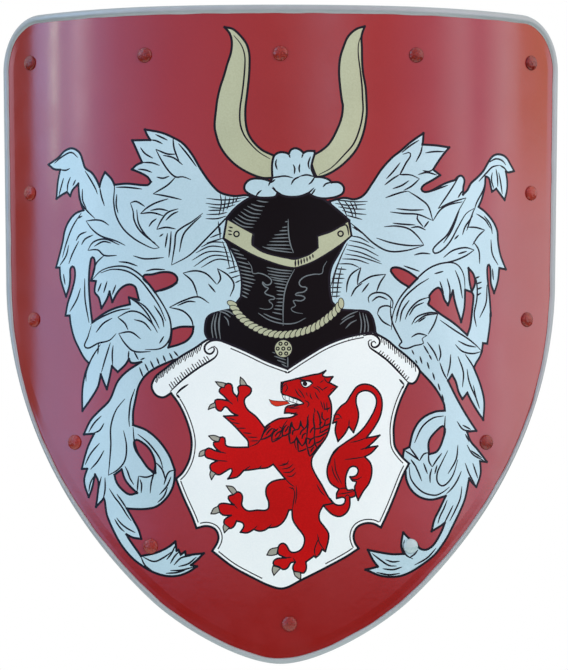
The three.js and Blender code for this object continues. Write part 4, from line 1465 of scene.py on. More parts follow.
RIGHT_HATCH = """
@3 268,550 330,556 400,562 462,560 / 282,570 350,581 452,576 / 300,590 380,601 452,603 / 320,610 390,626
455,632 / 345,636 432,660 / 295,548 330,600 348,645 / 330,552 365,600 382,650 / 362,556 390,610 398,652 /
388,562 405,605 / 365,750 420,760 470,788 / 360,775 430,790 502,822 / 350,800 440,820 522,862 / 345,825
430,845 532,892 / 335,850 420,865 540,905 / 320,877 400,882 470,905 / 300,905 370,906 415,925 / 285,932
345,935 / 272,960 330,962 / 262,985 335,985 / 255,1010 325,1010 / 252,1036 318,1035 / 255,1062 314,1060 /
262,1085 310,1082 / 350,790 308,880 276,980 266,1088 / 330,832 288,930 258,1030 / 318,920 300,1000 290,1092
/ 375,700 410,720 445,745 / 385,690 400,720
"""
LEFT_HORN = """
@0 1240,150! 1285,160 1330,200 1362,245 1376,295 1378,350 1374,430 1364,520 1355,600 1357,680 1372,740
1405,790 1450,830 1510,858! @2 1510,430! 1440,428 1340,385 1270,330 1215,255 1188,170 1185,130 1192,60 @0
1200,550 1216,480 1236,420 1256,350 1275,290 1280,230 1268,185
"""
LEFT_HORN_LINES = """
@0 1290,195 1330,245 1350,300 1352,360 1345,450 1335,530 1325,600 1326,680 1345,740 1380,790 1430,840
1492,878
"""
RIGHT_HORN = """
@1 445,146! 400,160 355,200 330,255 310,320 304,397 310,480 320,558 @3 325,30 318,95 290,170 250,240 205,280
160,305! 152,345 168,400 180,425! 215,420 275,392 340,342 400,272 438,182 456,80 455,0 @1 450,480 436,400
431,330 430,260 428,200
"""
RIGHT_HORN_LINES = """
@1 432,180 412,240 410,300 420,380 430,470 434,545 @3 436,60 420,150 385,240 330,305 260,375 192,412
"""
TORSE = """
@16 400,300! 397,230 402,175 418,138 455,120 500,125 514,132! 530,102 565,92 600,108 616,126! 642,112
692,112! 695,128 680,180 672,232 696,292! 742,294 792,310 812,330! 862,330 896,360 894,400 860,425 800,440
730,440 675,422 655,405! 600,425 540,432 480,425 436,405! 420,430 340,438 290,432 238,410 205,378 214,335
256,306 332,306 386,322! /
"""
TORSE_LINES = """
@16 386,322 400,300 440,292 490,286 545,300 / 386,322 372,355 / 325,385 300,405 285,430 / 396,368 440,402
472,418 / 595,288 552,310 530,346 / 696,292 672,328 652,345 / 590,288 640,278 696,292 / 812,330 772,340
752,364 / 600,422 652,402 690,368 / 514,132 524,160 / 616,126 604,160 / 430,168 422,200 434,242 / 545,205
556,235 552,272 / 592,200 586,232 590,262 / 666,150 650,200 658,238 / 402,360 432,404 / 700,375 670,420 /
385,335 420,310
"""
HELM = """
@16 85,575! 130,520 190,470 250,435 330,405! 660,400! 745,440 850,520 935,595! 950,700! 905,745 860,830
820,900 800,965 797,1040 803,1110 815,1165! 870,1212 960,1222 1058,1230 1092,1262 1113,1330 1118,1375!
700,1660! 480,1690! 250,1660! 0,1440! @4 1150,215! 1133,185 1134,130 1146,95 1176,75 1280,50! @16 180,1130!
187,1040 176,950 140,850 95,765! 60,720!
"""
HELM_LINES = """
@16 290,455 330,465 370,468 / 250,480 300,495 345,498 / 225,495 280,520 330,528 / 200,515 260,545 320,552 /
180,535 240,570 310,578 / 160,555 220,590 290,600 / 140,575 210,615 275,622 / 120,590 190,635 265,645 /
510,585 512,680 525,760 548,822 / 555,935 510,1020 485,1100 475,1200 475,1330 / 508,602 488,606 / 505,640
468,645 / 508,665 450,668 / 512,690 415,696 / 515,715 400,720 / 520,742 380,742 / 525,768 362,766 / 532,795
345,785 / 540,820 400,800 330,778 / 360,922 450,940 540,948 / 365,945 450,960 530,966 / 370,968 450,982
520,986 / 385,988 450,1002 510,1006 / 400,1008 505,1026 / 410,1032 500,1046 / 420,1057 495,1069 / 430,1085
490,1091 / 430,1111 485,1116 / 425,1140 480,1141 / 430,1165 478,1166 / 420,1190 475,1191 / 410,1212 472,1218
/ 400,1235 470,1250 / 115,790 170,810 / 130,820 200,840 / 145,850 220,865 / 155,880 240,902 / 165,910
248,932 / 175,940 262,957 / 180,965 272,985 / 186,990 282,1012 / 190,1015 272,1036 / 191,1040 258,1060 /
192,1065 246,1085 / 190,1090 236,1110 / 186,1115 226,1135 / 300,1240 380,1290 475,1315 560,1310 632,1275 /
340,1245 400,1272 465,1290 / @19 88,590 78,635 84,684 / 98,586 90,630 97,684 / 110,584 103,625 110,684 /
104,580 128,588 146,602 / 118,576 140,582 158,594 / 122,598 135,612 140,632 / 632,590 642,635 636,684 /
622,586 630,630 623,684 / 610,584 617,625 610,684 / 545,612 575,592 605,580 / 540,628 565,608 592,596 /
560,642 580,622 600,612 / 352,745 352,786 / 296,728 345,742 / 303,742 346,756 / 314,756 347,769 / 330,770
349,781 / @4 1195,85 1185,130 1190,190 / @4 1215,80 1210,130 1212,190
"""
HELM_SCROLLS = """
@16 230,880 255,920 265,965 302,962 350,976 393,1010 385,1040 352,1044 330,1024 350,1058 372,1070 346,1098
370,1115 418,1138 376,1152 402,1182 392,1208 350,1215 310,1206 / 780,880 755,920 745,965 690,970 620,990
586,1028 600,1055 640,1066 622,1092 560,1110 602,1120 628,1136 598,1156 545,1156 562,1188 530,1212 560,1236
612,1244
"""
VISOR = """
@16 85,585! 180,640 272,690! 265,770! 325,805 430,842 550,860 640,840 702,800! 718,785! 714,705! 820,668
930,598! 950,702! 880,760 780,828 680,885 600,915 550,926 450,906 300,852 180,790 62,720!
"""
VISOR_LINES = """
@16 262,690 256,770 / 560,868 560,918 / 580,866 582,912 / 600,862 602,902 / 620,856 623,892 / 640,850
643,884 / 660,840 664,870 / 680,830 684,857 / 95,640 125,648 / 90,665 120,672 / 90,690 120,695 / 480,850
550,865 620,850 / 720,700 820,665 / 800,672 905,625 922,640 932,700 / 265,775 330,812 440,848
"""
ROPE_PATH = "@19 152,554 170,585 205,620 255,648 300,662 350,664 400,655 450,636 495,605 525,578 544,552"
STUDS = "@16 150,690 / 875,688"
MEDALLION = "@19 336,715"
ESCUTCHEON = """
@5 20,380! 110,321 230,250 345,206 450,184 490,178 522,194 572,223 617,262 664,299 705,336 733,363 749,392
741,424 727,450 708,462 688,458! 668,497 640,561 617,635 606,700 606,755 613,810 650,865 690,903! 660,960
620,1060 592,1130 @7 562,205 535,262! 490,240 440,241 400,265 384,310 394,352 412,378! 340,425 200,500
100,550 0,598 @6 1500,588 1400,542 1280,476 1172,392! 1200,345 1206,310 1186,270 1140,254 1085,266! 1060,200
1010,90 975,0 @4 975,985! 1010,950 1045,880 1058,800 1050,730 1020,640 985,570 944,514! 905,537 868,530
843,500 838,468 862,420 905,385 994,315 1077,265 1150,218 1200,219 1240,232 1350,278 1480,340
"""
ESCUTCHEON_LINES = """
@22 480,232 370,192 300,182 232,200 184,240 174,290 194,330 236,348 272,332 292,294 284,264 250,276 214,300
/ 288,252 322,284 332,325 314,372 270,412 120,503 -80,650 -240,800 / @21 180,108 262,92 312,110 346,150
344,190 320,216 288,224 264,204 268,172 290,162 310,184 / 270,150 248,150 233,168 236,195 252,228 290,256
340,290 430,360 520,450 600,540 635,580 / @4 1040,465 1000,492 973,520! 994,543 / @5 636,437 650,453
664,469! 648,494 / @20 345,62 374,82! 404,62
"""
ROLL_TICKS = """
@5 400,198 396,208 / 380,205 375,215 / 360,212 355,222 / 420,192 416,202 / 440,188 438,200
"""
ROLL_FRINGE = """
@4 1122,237 1077,267 994,317 905,387 868,420 854,461 / 1165,334 1104,370 1012,438 950,494 932,466 / @21
352,100 425,154 508,225 592,292 667,358 715,406 722,474 / 325,280 430,360 520,450 600,540 628,570 652,538
"""
LION = """
@18 80,122! 150,105 215,88 300,68 345,60 388,40! 368,76 438,82! 412,122! 468,152! 435,188 408,217! 426,270
428,345 418,420 400,488 362,548 322,602 295,645 290,700 322,772 362,838 402,912 440,965! 372,978! 345,1030
345,1082 380,1130 408,1176 405,1230 386,1300! 362,1286! 345,1320 320,1342! 306,1332! 250,1374! 253,1420
236,1450 205,1446 166,1436 160,1405 176,1374! 146,1378 122,1415 90,1426 60,1405 28,1396 24,1370 50,1350
110,1345! 82,1332 58,1318 54,1288 66,1254 92,1243 116,1260 142,1302 182,1305 222,1280 241,1230 235,1190
190,1130 160,1080 153,1010! @17 690,1012! 660,1080 612,1124 545,1136! 520,1152 480,1158 445,1146! 400,1170
352,1166! 376,1125 366,1100 325,1088! 302,1130 270,1140 240,1112 240,1080 286,1048! 230,1046 204,1020
195,985 220,965 306,975! 275,945 268,916 300,905 332,884 360,900 366,930 362,980 400,1016 470,1012 540,1008
549,960 530,900 535,850 570,815 620,800 665,795! 620,740 580,692! 540,716 480,722! 430,730 374,736! 330,780
265,794! 286,760 291,724 250,740 206,765 180,760 150,740 140,700 165,680 192,668! 150,656 110,640 104,600
130,580 170,595 210,606! 175,575 164,540 200,534 212,504 242,510 250,560 300,573 407,573! 404,530 370,490
300,415 236,357! 332,352! 290,330 246,290 215,322 184,305 176,275 175,246 210,240 268,250! 235,215 204,185
215,160 245,140 266,128 292,140 300,190 328,222! 340,190 334,155 360,140 395,142 427,165 420,200 385,230
378,260 400,310 460,360 520,436! 560,405 620,375 700,366 @18 187,345! 140,335 102,335! 108,300 125,286
232,268! 200,240 130,218 84,200 77,160
"""
LION_TAIL = """
@18 556,925! 590,915 598,890 575,868 540,872 526,815 535,755 560,712 595,708 615,730 608,762 585,778
558,780! 575,808 602,815 590,850 598,900 615,942! 650,880 692,820 710,745 700,685 660,640! 708,612 750,565!
700,572 668,580! 720,537 765,490! 720,500 672,508! 730,430 770,350 782,262 765,200 720,150 660,133 608,150
568,202 530,262 500,282 455,342 438,405! 464,395! 455,460 474,532! 520,482 550,428! 582,470! 612,390 616,330
600,262 608,207 650,180 700,186 736,222 742,270 716,340 660,430 600,490 520,545 450,600 410,680 398,750
420,820 482,865! 465,895 465,930! 520,925 518,965 490,978 455,972 420,935! 340,930! 372,978! 400,1012
440,1045 490,1056 535,1027 556,980
"""
TONGUE = "@20 192,345! 215,388 262,412 330,402 395,385! 370,364 300,362 232,356"
CLAWS = """
@17 178,117! 215,120 248,128! 238,158! 205,148 / 352,85! 375,105 398,142! 350,140! 348,115 / 128,310!
140,280 175,262! 182,292! 155,300 / 130,495! 165,490 210,505! 200,535! 160,525 / 62,637! 70,605 105,590!
103,625! 85,635 / 150,800! 138,765 145,735! 180,755! 165,775 / 253,842! 300,850 328,885! 300,905! 275,875 /
146,1038! 165,1000 198,985! 208,1025! 175,1038 / 240,1170! 230,1130 240,1108! 275,1135! 255,1155 / 536,1325!
560,1285 615,1272! 605,1320! 570,1328 / 585,1467! 572,1430 580,1400! 632,1415! 605,1445 / @18 212,1497!
175,1470 165,1440! 210,1445! 216,1470
"""
EYE = "@20 506,168! 525,212 560,226 600,206 624,182! 590,164 550,160"
PUPIL = "@20 549,188"
LION_LINES = """
@18 60,702 112,692 132,665 / 80,726 132,716 162,690 / 92,748 142,746 176,716 / 115,772 152,776 182,746 /
155,850 172,890 165,950 155,1012 / 182,840 186,900 176,972 / 130,852 172,866 / 330,1180 345,1240 382,1292 /
342,1200 310,1290 320,1340 / 180,1374 160,1345 / 108,1345 150,1340 / 84,200 90,150 120,125 / 325,830 352,880
385,915 / 115,300 170,290 232,268 / 145,345 190,330 / 270,345 262,380 / 395,260 400,330 / 355,440 345,480 /
470,900 520,895 585,880 / 560,925 540,905 520,925 / 540,872 520,858 482,865 / 520,660 600,650 660,640 /
415,700 430,640 480,580 / 560,540 610,530 672,508 / 440,350 480,345 500,375 / 445,380 490,370 / 550,428
552,380 / 668,580 630,590 / 560,790 600,800 640,780 / 430,700 445,760 480,820 / 450,650 460,740 500,830 /
@17 270,370 320,386 / 290,400 350,411 / 330,440 390,441 / 370,472 430,478 / 400,502 470,505 / 420,530
480,528 / 407,573 470,545 508,490 520,436 / 205,604 252,616 / 190,666 262,671 / 306,975 332,1002 / 500,500
520,450 562,410 / 512,512 560,490 592,440 / 580,522 620,500 642,440 / 652,500 640,450 682,380 / 700,522
690,470 702,400 / 742,592 730,540 746,490 / 570,440 610,460 / 620,430 655,450 / 665,795 700,830 730,850 /
640,690 690,690 / 268,250 300,275 / 328,222 335,260 / 374,736 420,705 / 480,722 500,700 / 545,1136 570,1110
/ 445,1146 470,1120
"""
MANTLING_PATCH = "@19 496,400 546,430 546,584 500,584"
MANE = """
@20 110,745 150,735 215,705 / 110,745 130,690 165,645 205,610 / 160,700 190,660 225,630 / 222,772 218,720
240,670 285,635 / 222,772 270,748 325,712 / 250,715 275,680 320,655 / 322,715 325,665 345,620 372,598 /
325,712 360,702 388,682 / 350,670 370,640 385,610 / 388,682 392,735 402,785! 440,768 472,722 / 402,690
405,630 418,565 / 418,565 425,615 455,650 / 455,650 485,640 500,600 506,555 / 506,555 515,605 545,640 /
545,640 568,610 576,560 576,515 / 425,700 430,660 455,650 / 470,722 490,770 520,812! 548,780 560,725 /
472,735 478,800 484,865! 525,855 565,835 / 500,700 515,660 545,640 / 520,740 530,700 560,680 / 576,515
580,590 572,660 568,725 / 568,725 605,745 640,722 / 600,680 620,640 645,620 / 640,480 636,560 648,640
640,722 / 648,640 700,632 742,605 752,555 / 668,455 690,500 702,560 700,632 / 690,600 720,570 / 722,470
722,530 752,555! 790,530 / 735,440 775,440 800,425 / 568,725 562,775 575,830! 610,820 645,785 640,722 /
575,830 585,880 600,915! 640,870 668,830! 650,785 / 645,785 700,765 745,715 / 668,830 700,800 735,760 /
640,722 700,712 785,665 / 742,605 775,600 800,580 / 590,790 600,760 620,740 / 610,870 620,840 640,820 /
700,680 740,660 790,630 / 505,150 545,158 600,156 628,180
"""
FACE = """
@20 455,128 500,142 550,148 / 450,238 478,290 515,325 / 480,235 520,285 548,335 / 600,280 605,315 625,345 /
650,270 665,310 690,345 / 625,215 680,245 700,280 / 665,210 700,230 730,260 / 545,350 590,385 570,425 /
360,190 375,230 350,270 / 400,402 460,402 530,395 / 380,430 440,432 500,428 / 700,180 735,150 / 720,250
780,215 / 705,360 720,400 730,440 / 735,370 745,420 740,455 / 560,270 575,310 / 640,430 650,460 640,480 /
740,130 760,160 790,185 / 800,250 850,225
"""
NOSE = "@20 304,185! 330,168 346,172 330,200 324,240! 308,262 303,230"
TEETH = "@20 320,300! 340,345 385,360 440,378 500,392 534,380! 480,350 420,328 370,306"
TOOTH_GAPS = "@20 350,306 352,352 / 392,318 392,362 / 432,335 430,374 / 470,352 466,384"


# The painted face

TAIL_ARC = arc(84, 0, 7)


@dataclass
class Arms:
    """The painted achievement of arms: mantling, helm, horns, wreath and the lion's escutcheon."""

    view: Viewpoint
    outline: float = 2.5
    fold: float = 1.9
    hatch: float = 1.25
    mantle_hatch: float = 1.5
    mane: float = 1.8125
    visor: float = 1.75
    scroll: float = 2.25
    rope_line: float = 0.875
    fringe_pitch: float = 2.964
    border: float = 3.9
    film: float = 0.12
    sunk: float = 0.1
    rope: tuple[float, float] = (10.6, 5.6)
    stud: tuple[float, float] = (3.6, 1.9)
    medallion: float = 10.2
    petals: int = 6
    petal_ring: float = 6.0
    petal: tuple[float, float] = (2.3, 0.9)
    petal_sides: int = 12
    tongue_line: float = 0.7
    mouth_line: float = 0.8
    blunt_tip: float = 0.8
    mane_tip: float = 0.6
    pupil: float = 2.5
    line_gap: float = 0.96
    line_over: float = 0.3
    bare: tuple[tuple[float, float, float, float], ...] = (
        (0, 229, 300, 396), (364, 568, 300, 387), (264, 324, 562, 640))

    def build(self) -> list[bpy.types.Object]:
        """Draws everything from the back to the front.

        Returns:
            The films of paint.
        """
        drawing = Drawing(self.view)
        for mantling, gaps in ((LEFT_MANTLING, LEFT_GAPS), (RIGHT_MANTLING, RIGHT_GAPS)):
            drawing.fill(Finish.SILVER, mantling, self.outline)
            drawing.fill(Finish.FIELD, gaps, self.outline)
        drawing.fill(Finish.SILVER, MANTLING_PATCH, 0.0)
        for lines, hatch in ((LEFT_LINES, LEFT_HATCH), (RIGHT_LINES, RIGHT_HATCH)):
            drawing.strokes(Finish.INK, lines, self.fold)
            drawing.strokes(Finish.INK, hatch, self.mantle_hatch)
        self._helm(drawing)
        self._crest(drawing)
        self._escutcheon(drawing)
        self._lion(drawing)
        return drawing.films(self.film, self.sunk)

    def _crest(self, drawing: Drawing) -> None:
        """Draws the horns and the wreath."""
        for horn, lines in ((LEFT_HORN, LEFT_HORN_LINES), (RIGHT_HORN, RIGHT_HORN_LINES)):
            drawing.fill(Finish.GOLD, horn, self.outline)
            drawing.strokes(Finish.INK, lines, self.fold)
        drawing.fill(Finish.SILVER, TORSE, self.outline)
        drawing.strokes(Finish.INK, TORSE_LINES, self.fold)

    def _helm(self, drawing: Drawing) -> None:
        """Draws the helm, its rope and its medallion."""
        drawing.fill(Finish.BLACK, HELM, self.outline)
        drawing.strokes(Finish.GREY, HELM_LINES, self.hatch)
        drawing.strokes(Finish.GREY, HELM_SCROLLS, self.hatch)
        drawing.fill(Finish.GOLD, VISOR, self.visor)
        drawing.strokes(Finish.INK, VISOR_LINES, self.fold)
        drawing.rope(ROPE_PATH, *self.rope, self.rope_line)
        rings = tuple(zip((Finish.INK, Finish.GOLD), self.stud, self.petal))
        for finish, stud, _ in rings:
            drawing.dots(finish, STUDS, stud)
        round_petals = circle(self.petal_sides)
        for middle in drawing.dots(Finish.GOLD, MEDALLION, self.medallion, self.hatch):
            for away in ((0.0, 0.0), *circle(self.petals) * self.petal_ring):
                for finish, _, petal in rings:
                    drawing.lay(finish, middle + away + round_petals * petal)

    def _escutcheon(self, drawing: Drawing) -> None:
        """Draws the small shield with its rolled top."""
        drawing.fill(Finish.WHITE, ESCUTCHEON, self.outline)
        self._inner_line(drawing)
        drawing.strokes(Finish.INK, ESCUTCHEON_LINES, self.scroll)
        drawing.strokes(Finish.INK, ROLL_TICKS, self.hatch)
        drawing.fringe(Finish.INK, ROLL_FRINGE, self.fringe_pitch, self.hatch)

    def _inner_line(self, drawing: Drawing) -> None:
        """Draws the thin line inside the small shield's edge, except in the bare windows."""
        windows = [drawing.view.flat(numpy.array(((left, foot), (right, top)), dtype=float))
                   for left, right, top, foot in self.bare]
        for places, sharp in drawing.shapes(ESCUTCHEON):
            runs = drawing.smooth(places, sharp, closed=True)
            edge = numpy.concatenate([run[:-1] for run in runs])
            after = numpy.roll(edge, -1, axis=0)
            turning = float(numpy.sum(edge[:, 0] * after[:, 1] - after[:, 0] * edge[:, 1]))
            inward = math.copysign(self.border, turning)
            for run in runs:
                way = numpy.gradient(run, axis=0)
                way /= numpy.linalg.norm(way, axis=1)[:, None]
                line = run + numpy.column_stack((-way[:, 1], way[:, 0])) * inward
                share = numpy.clip(numpy.einsum("ijk,jk->ij", line[:, None] - edge, after - edge)
                                   / numpy.sum((after - edge) ** 2, axis=1), 0, 1)
                apart = line[:, None] - edge - share[..., None] * (after - edge)
                gap = numpy.linalg.norm(apart, axis=2).min(axis=1)
                drawn = gap > self.border * self.line_gap
                for low, high in windows:
                    drawn &= ~numpy.all((line > low) & (line < high), axis=1)
                kept = numpy.flatnonzero(drawn)
                for part in numpy.split(kept, numpy.flatnonzero(numpy.diff(kept) > 1) + 1):
                    if len(part) > 2:
                        drawing.lay(Finish.INK, drawing.band(line[part], self.hatch, 1.0, self.line_over))

    def _lion(self, drawing: Drawing) -> None:
        """Draws the lion."""
        drawing.fill(Finish.RED, LION_TAIL, self.fold)
        drawing.fill(Finish.RED, LION, self.fold)
        drawing.fill(Finish.WHITE, TEETH, self.mouth_line)
        drawing.strokes(Finish.GREY, TOOTH_GAPS, self.mouth_line, self.blunt_tip)
        drawing.fill(Finish.TONGUE, TONGUE, self.tongue_line)
        drawing.fill(Finish.CLAW, CLAWS, self.hatch)
        drawing.fill(Finish.INK, NOSE, 0.0)
        drawing.strokes(Finish.INK, LION_LINES, self.hatch)
        drawing.strokes(Finish.INK, FACE, self.hatch)
        drawing.strokes(Finish.INK, MANE, self.mane, self.mane_tip)
        drawing.fill(Finish.WHITE, EYE, self.hatch)
        drawing.dots(Finish.INK, PUPIL, self.pupil)


@dataclass
class PaintedSheet:
    """The rolled steel sheet, with its sloping border, under the red field."""

    edge: float = 1.65
    step_inset: float = 10.3
    column: float = 6.0
    crease: float = 1.6
    overlap: float = 0.3
    shallow: float = 0.12
    plane: float = 0.9

    def build(self) -> bpy.types.Object:
        """Builds the sheet.

        Returns:
            The sheet, closed, with the curve's own normals on its faces.
        """
        slope_end = self.step_inset + LAYERS.border - self.overlap
        lean = LAYERS.step / (slope_end - self.step_inset)
        bm = flat_sheet((
            (self.edge, LAYERS.step), (self.step_inset, LAYERS.step),
            (slope_end - self.crease / 2, self.crease / 2 * lean), (slope_end + self.crease / 2, 0.0)),
            self.column, -1.0)
        thicken(bm, LAYERS.sheet)
        for vert in bm.verts:
            if vert.co.y < LAYERS.sheet * 0.99:
                vert.co.y *= self.shallow
        sheet = finished("painted_sheet", bm, Finish.FIELD, "red_enamel",
                         nodes=("shield_sheet",), smooth=None)
        roll(sheet, plane=self.plane)
        log.info("painted_sheet: %d faces", len(sheet.data.polygons))
        return sheet


@dataclass
class Rim:
    """The steel binding folded over the sheet's edge."""

    centre: float = 5.0
    depth: float = 2.3
    lip: float = 1.1
    turns: int = 22
    inner_gap: float = 1.25
    wave: float = 0.35
    wave_pitch: tuple[float, float] = (0.61, 0.13)
    slim: float = 3.6
    slim_from: float = 30.0
    slim_to: float = -80.0

    def build(self) -> bpy.types.Object:
        """Builds the binding, its wall closed and its inner edge a little uneven.

        Returns:
            The binding.
        """
        half_width, half_depth = LAYERS.rim_width / 2, LAYERS.rim_depth / 2
        wall = LAYERS.rim_wall
        open_turn = math.asin(min(1.0, (self.lip + wall) / half_depth))
        outer = self._section(half_width, half_depth, open_turn)
        inner = self._section(half_width - wall, half_depth - wall, open_turn * self.inner_gap)
        profile = outer + inner[::-1]
        fast, slow = self.wave_pitch
        path = []
        for number, point in enumerate(OUTLINE.closed()):
            waver = self.wave * math.sin(number * fast) * math.sin(number * slow + 1.0)
            low = (self.slim_from - point.z) / (self.slim_from - self.slim_to)
            slim = self.slim * min(1.0, max(0.0, low))
            ring = []
            for inset, depth in profile:
                share = max(0.0, (inset - self.centre) / half_width)
                narrower = slim * share if depth < self.depth else 0.0
                s, z = point.inset(inset + waver * share - narrower)
                ring.append(ROLL.place(s, depth, z))
            path.append(ring)
        rim = finished("rim", sweep(path), Finish.RIM, "rim_steel", nodes=("rim_binding",), smooth=50.0)
        log.info("rim: %d faces", len(rim.data.polygons))
        return rim

    def _section(self, half_width: float, half_depth: float, gap: float) -> list[Flat]:
        """Draws one face of the wall, seen from the end.

        Args:
            half_width: Half its width.
            half_depth: Half its depth.
            gap: The angle that is left open at either side of the sheet, in radians.

        Returns:
            Pairs of inset and depth, from the front lip round the edge to the back one.
        """
        end = math.degrees(math.pi - gap)
        return [(self.centre - half_width * across, self.depth + half_depth * back)
                for across, back in arc(-end, end, self.turns)]


@dataclass(frozen=True)
class RivetPlace:
    """Where a face rivet goes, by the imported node's name, and how deep it grips."""

    name: str
    s: float
    z: float
    grip: float


@dataclass
class FaceRivets:
    """The domed rivets of the painted face, with their closed ends and burrs behind."""

    head: float = 8.0
    rise: float = 4.1
    rim: float = 0.7
    shank: float = 3.0
    tail: float = 5.0
    tail_rise: float = 2.4
    burr_hole: float = 3.3
    burr: float = 7.5
    burr_thickness: float = 1.2
    inset: float = 42.5
    top_drop: float = 52.0
    bar_rows: tuple[float, float] = (155.0, 16.0)
    lower_rows: tuple[float, float] = (0.667, 0.823)
    tip_rise: float = 43.0
    tip_aside: float = 9.5
    sunk: float = 0.13
    tail_edge: float = 0.25
    soft: float = 0.3
    bulge: tuple[float, float] = (0.12, 0.02)
    bulge_share: float = 0.4
    sides: int = 40
    dome_steps: int = 10
    silver: str = "right_flank"

    def places(self) -> list[RivetPlace]:
        """Sets out the rivets in their rows.

        Returns:
            Each rivet's name, place and grip.
        """
        top = OUTLINE.height / 2 - self.top_drop
        corner = OUTLINE.rivet_row(self.bar_rows[0], self.inset)
        lining, bar, lug = LAYERS.lining_back, LAYERS.bar_back, LAYERS.lug_back
        found = [RivetPlace("top_3", 0.0, top, lining),
                 RivetPlace("tip", self.tip_aside, self.tip_rise - OUTLINE.height / 2, lining)]
        rows = [(word, z, bar) for word, z in zip(("upper", "lower"), self.bar_rows)]
        rows += [(word, OUTLINE.shared(0, share)[1], lining)
                 for word, share in zip(("hip", "flank"), self.lower_rows)]
        for word, side, far, near in (("left", -1, 1, 2), ("right", 1, 5, 4)):
            found += [RivetPlace(f"top_{far}", side * corner, top, lug),
                      RivetPlace(f"top_{near}", side * corner / 2, top, lining)]
            found += [RivetPlace(f"{word}_{row}", side * OUTLINE.rivet_row(z, self.inset), z, grip)
                      for row, z, grip in rows]
        return found

    def build(self) -> None:
        """Builds every rivet and its burr."""
        places = self.places()
        for place in places:
            painted = (Finish.RIVET_SILVER, "silver_enamel") if place.name == self.silver \
                else (Finish.RIVET, "red_enamel")
            rivet = lathe(self._rivet(place.grip), self.sides)
            for face in rivet.faces:
                face.material_index = int(face.calc_center_median().y > 0)
            finished(f"domed_rivet_{place.name}", seat(rivet, place.s, place.z), *painted,
                     nodes=(f"rivet_{place.name}",), behind=Finish.IRON)
            burr = seat(self._burr(place.grip), place.s, place.z)
            finished(f"washer_{place.name}", burr, Finish.IRON, "forged_iron", nodes=(f"burr_{place.name}",))
        log.info("face rivets: %d, each with its burr", len(places))

    def _rivet(self, grip: float) -> list[Flat]:
        """Draws half a rivet, from the top of its dome to the end of its tail.

        Args:
            grip: The depth of the layers that it holds.

        Returns:
            Pairs of radius and depth.
        """
        under = -self.sunk
        top = under - self.rim
        rise = self.rise - self.rim
        far, near = self.bulge
        dome = [(self.head * out, top - rise * up) for up, out in arc(0, 90, self.dome_steps)]
        edge = [(self.head + far, top + self.rim * self.bulge_share), (self.head + near, under - far),
                (self.head - self.soft, under)]
        tail = grip + 2 * LAYERS.clearance + self.burr_thickness
        foot = tail + self.tail_edge
        high = self.tail_rise - self.soft
        closed = [(self.tail * out, foot + high * down) for down, out in TAIL_ARC]
        return dome + edge + [(self.shank, under), (self.shank, tail), (self.tail - self.soft, tail),
                              (self.tail, foot)] + closed

    def _burr(self, grip: float) -> bmesh.types.BMesh:
        """Turns a burr.

        Args:
            grip: The depth of the layers under it.

        Returns:
            The burr, its edges softened.
        """
        low, soft = grip + LAYERS.clearance, self.soft
        high = low + self.burr_thickness
        return lathe([(self.burr_hole, low), (self.burr - soft, low), (self.burr, low + soft),
                      (self.burr, high - soft), (self.burr - soft, high), (self.burr_hole + soft, high),
                      (self.burr_hole, high - soft)], closed=True)


# Straps: cut flat, then laid along a path


@dataclass(frozen=True)
class Station:
    """A place on a strap's path, with the directions of its width and of its outer face."""

    at: Vector
    wide: Vector
    face: Vector


class Path:
    """The line that a strap's middle follows."""

    def __init__(self, points: list[Vector], wides: list[Vector]) -> None:
        """Sets out the path.

        Args:
            points: Places along it, in metres.
            wides: The direction of the strap's width at each.
        """
        self.stations: list[Station] = []
        self.lengths = [0.0]
        last = len(points) - 1
        for i, (at, wide) in enumerate(zip(points, wides)):
            along = (points[min(i + 1, last)] - points[max(i - 1, 0)]).normalized()
            level = (wide - along * wide.dot(along)).normalized()
            self.stations.append(Station(at, level, level.cross(along).normalized()))
            if i:
                self.lengths.append(self.lengths[-1] + (at - points[i - 1]).length / MM)

    @property
    def length(self) -> float:
        """Returns the path's length in millimetres."""
        return self.lengths[-1]

    def station(self, run: float) -> Station:
        """Finds the place this far along, in millimetres; past an end it runs straight on.

        Args:
            run: The distance along the path.

        Returns:
            The place there.
        """
        i = int(numpy.searchsorted(self.lengths, run))
        i = min(max(i, 1), len(self.lengths) - 1)
        a, b = self.stations[i - 1], self.stations[i]
        share = (run - self.lengths[i - 1]) / (self.lengths[i] - self.lengths[i - 1])
        bound = min(max(share, 0.0), 1.0)
        return Station(a.at.lerp(b.at, bound) + (b.at - a.at) * (share - bound),
                       a.wide.lerp(b.wide, bound).normalized(), a.face.lerp(b.face, bound).normalized())

    def spot(self, across: float, proud: float, run: float) -> Vector:
        """Returns the place that lies across, off the middle of its thickness, and along."""
        station = self.station(run)
        return station.at + (station.wide * across + station.face * proud) * MM

    def lay(self, bm: bmesh.types.BMesh) -> None:
        """Lays a flat mesh along the path, its x across, its y off the face and its z along.

        Args:
            bm: The mesh in millimetres.
        """
        for vert in bm.verts:
            vert.co = self.spot(*vert.co)


def eased(points: list[Vector], step: float = 2.0) -> list[Vector]:
    """Puts more places on a line, drawn smoothly through those given.

    Args:
        points: The places, in metres.
        step: The spacing in millimetres.

    Returns:
        The places with the new ones between them.
    """
    out = [points[0]]
    for i in range(len(points) - 1):
        a, b = points[i], points[i + 1]
        before, after = points[max(i - 1, 0)], points[min(i + 2, len(points) - 1)]
        gap = (b - a).length
        start = (b - before).normalized() * gap
        end = (after - a).normalized() * gap
        count = max(1, math.ceil(gap / MM / step))
        for k in range(1, count + 1):
            out.append(between(a, start, b, end, k / count))
    return out


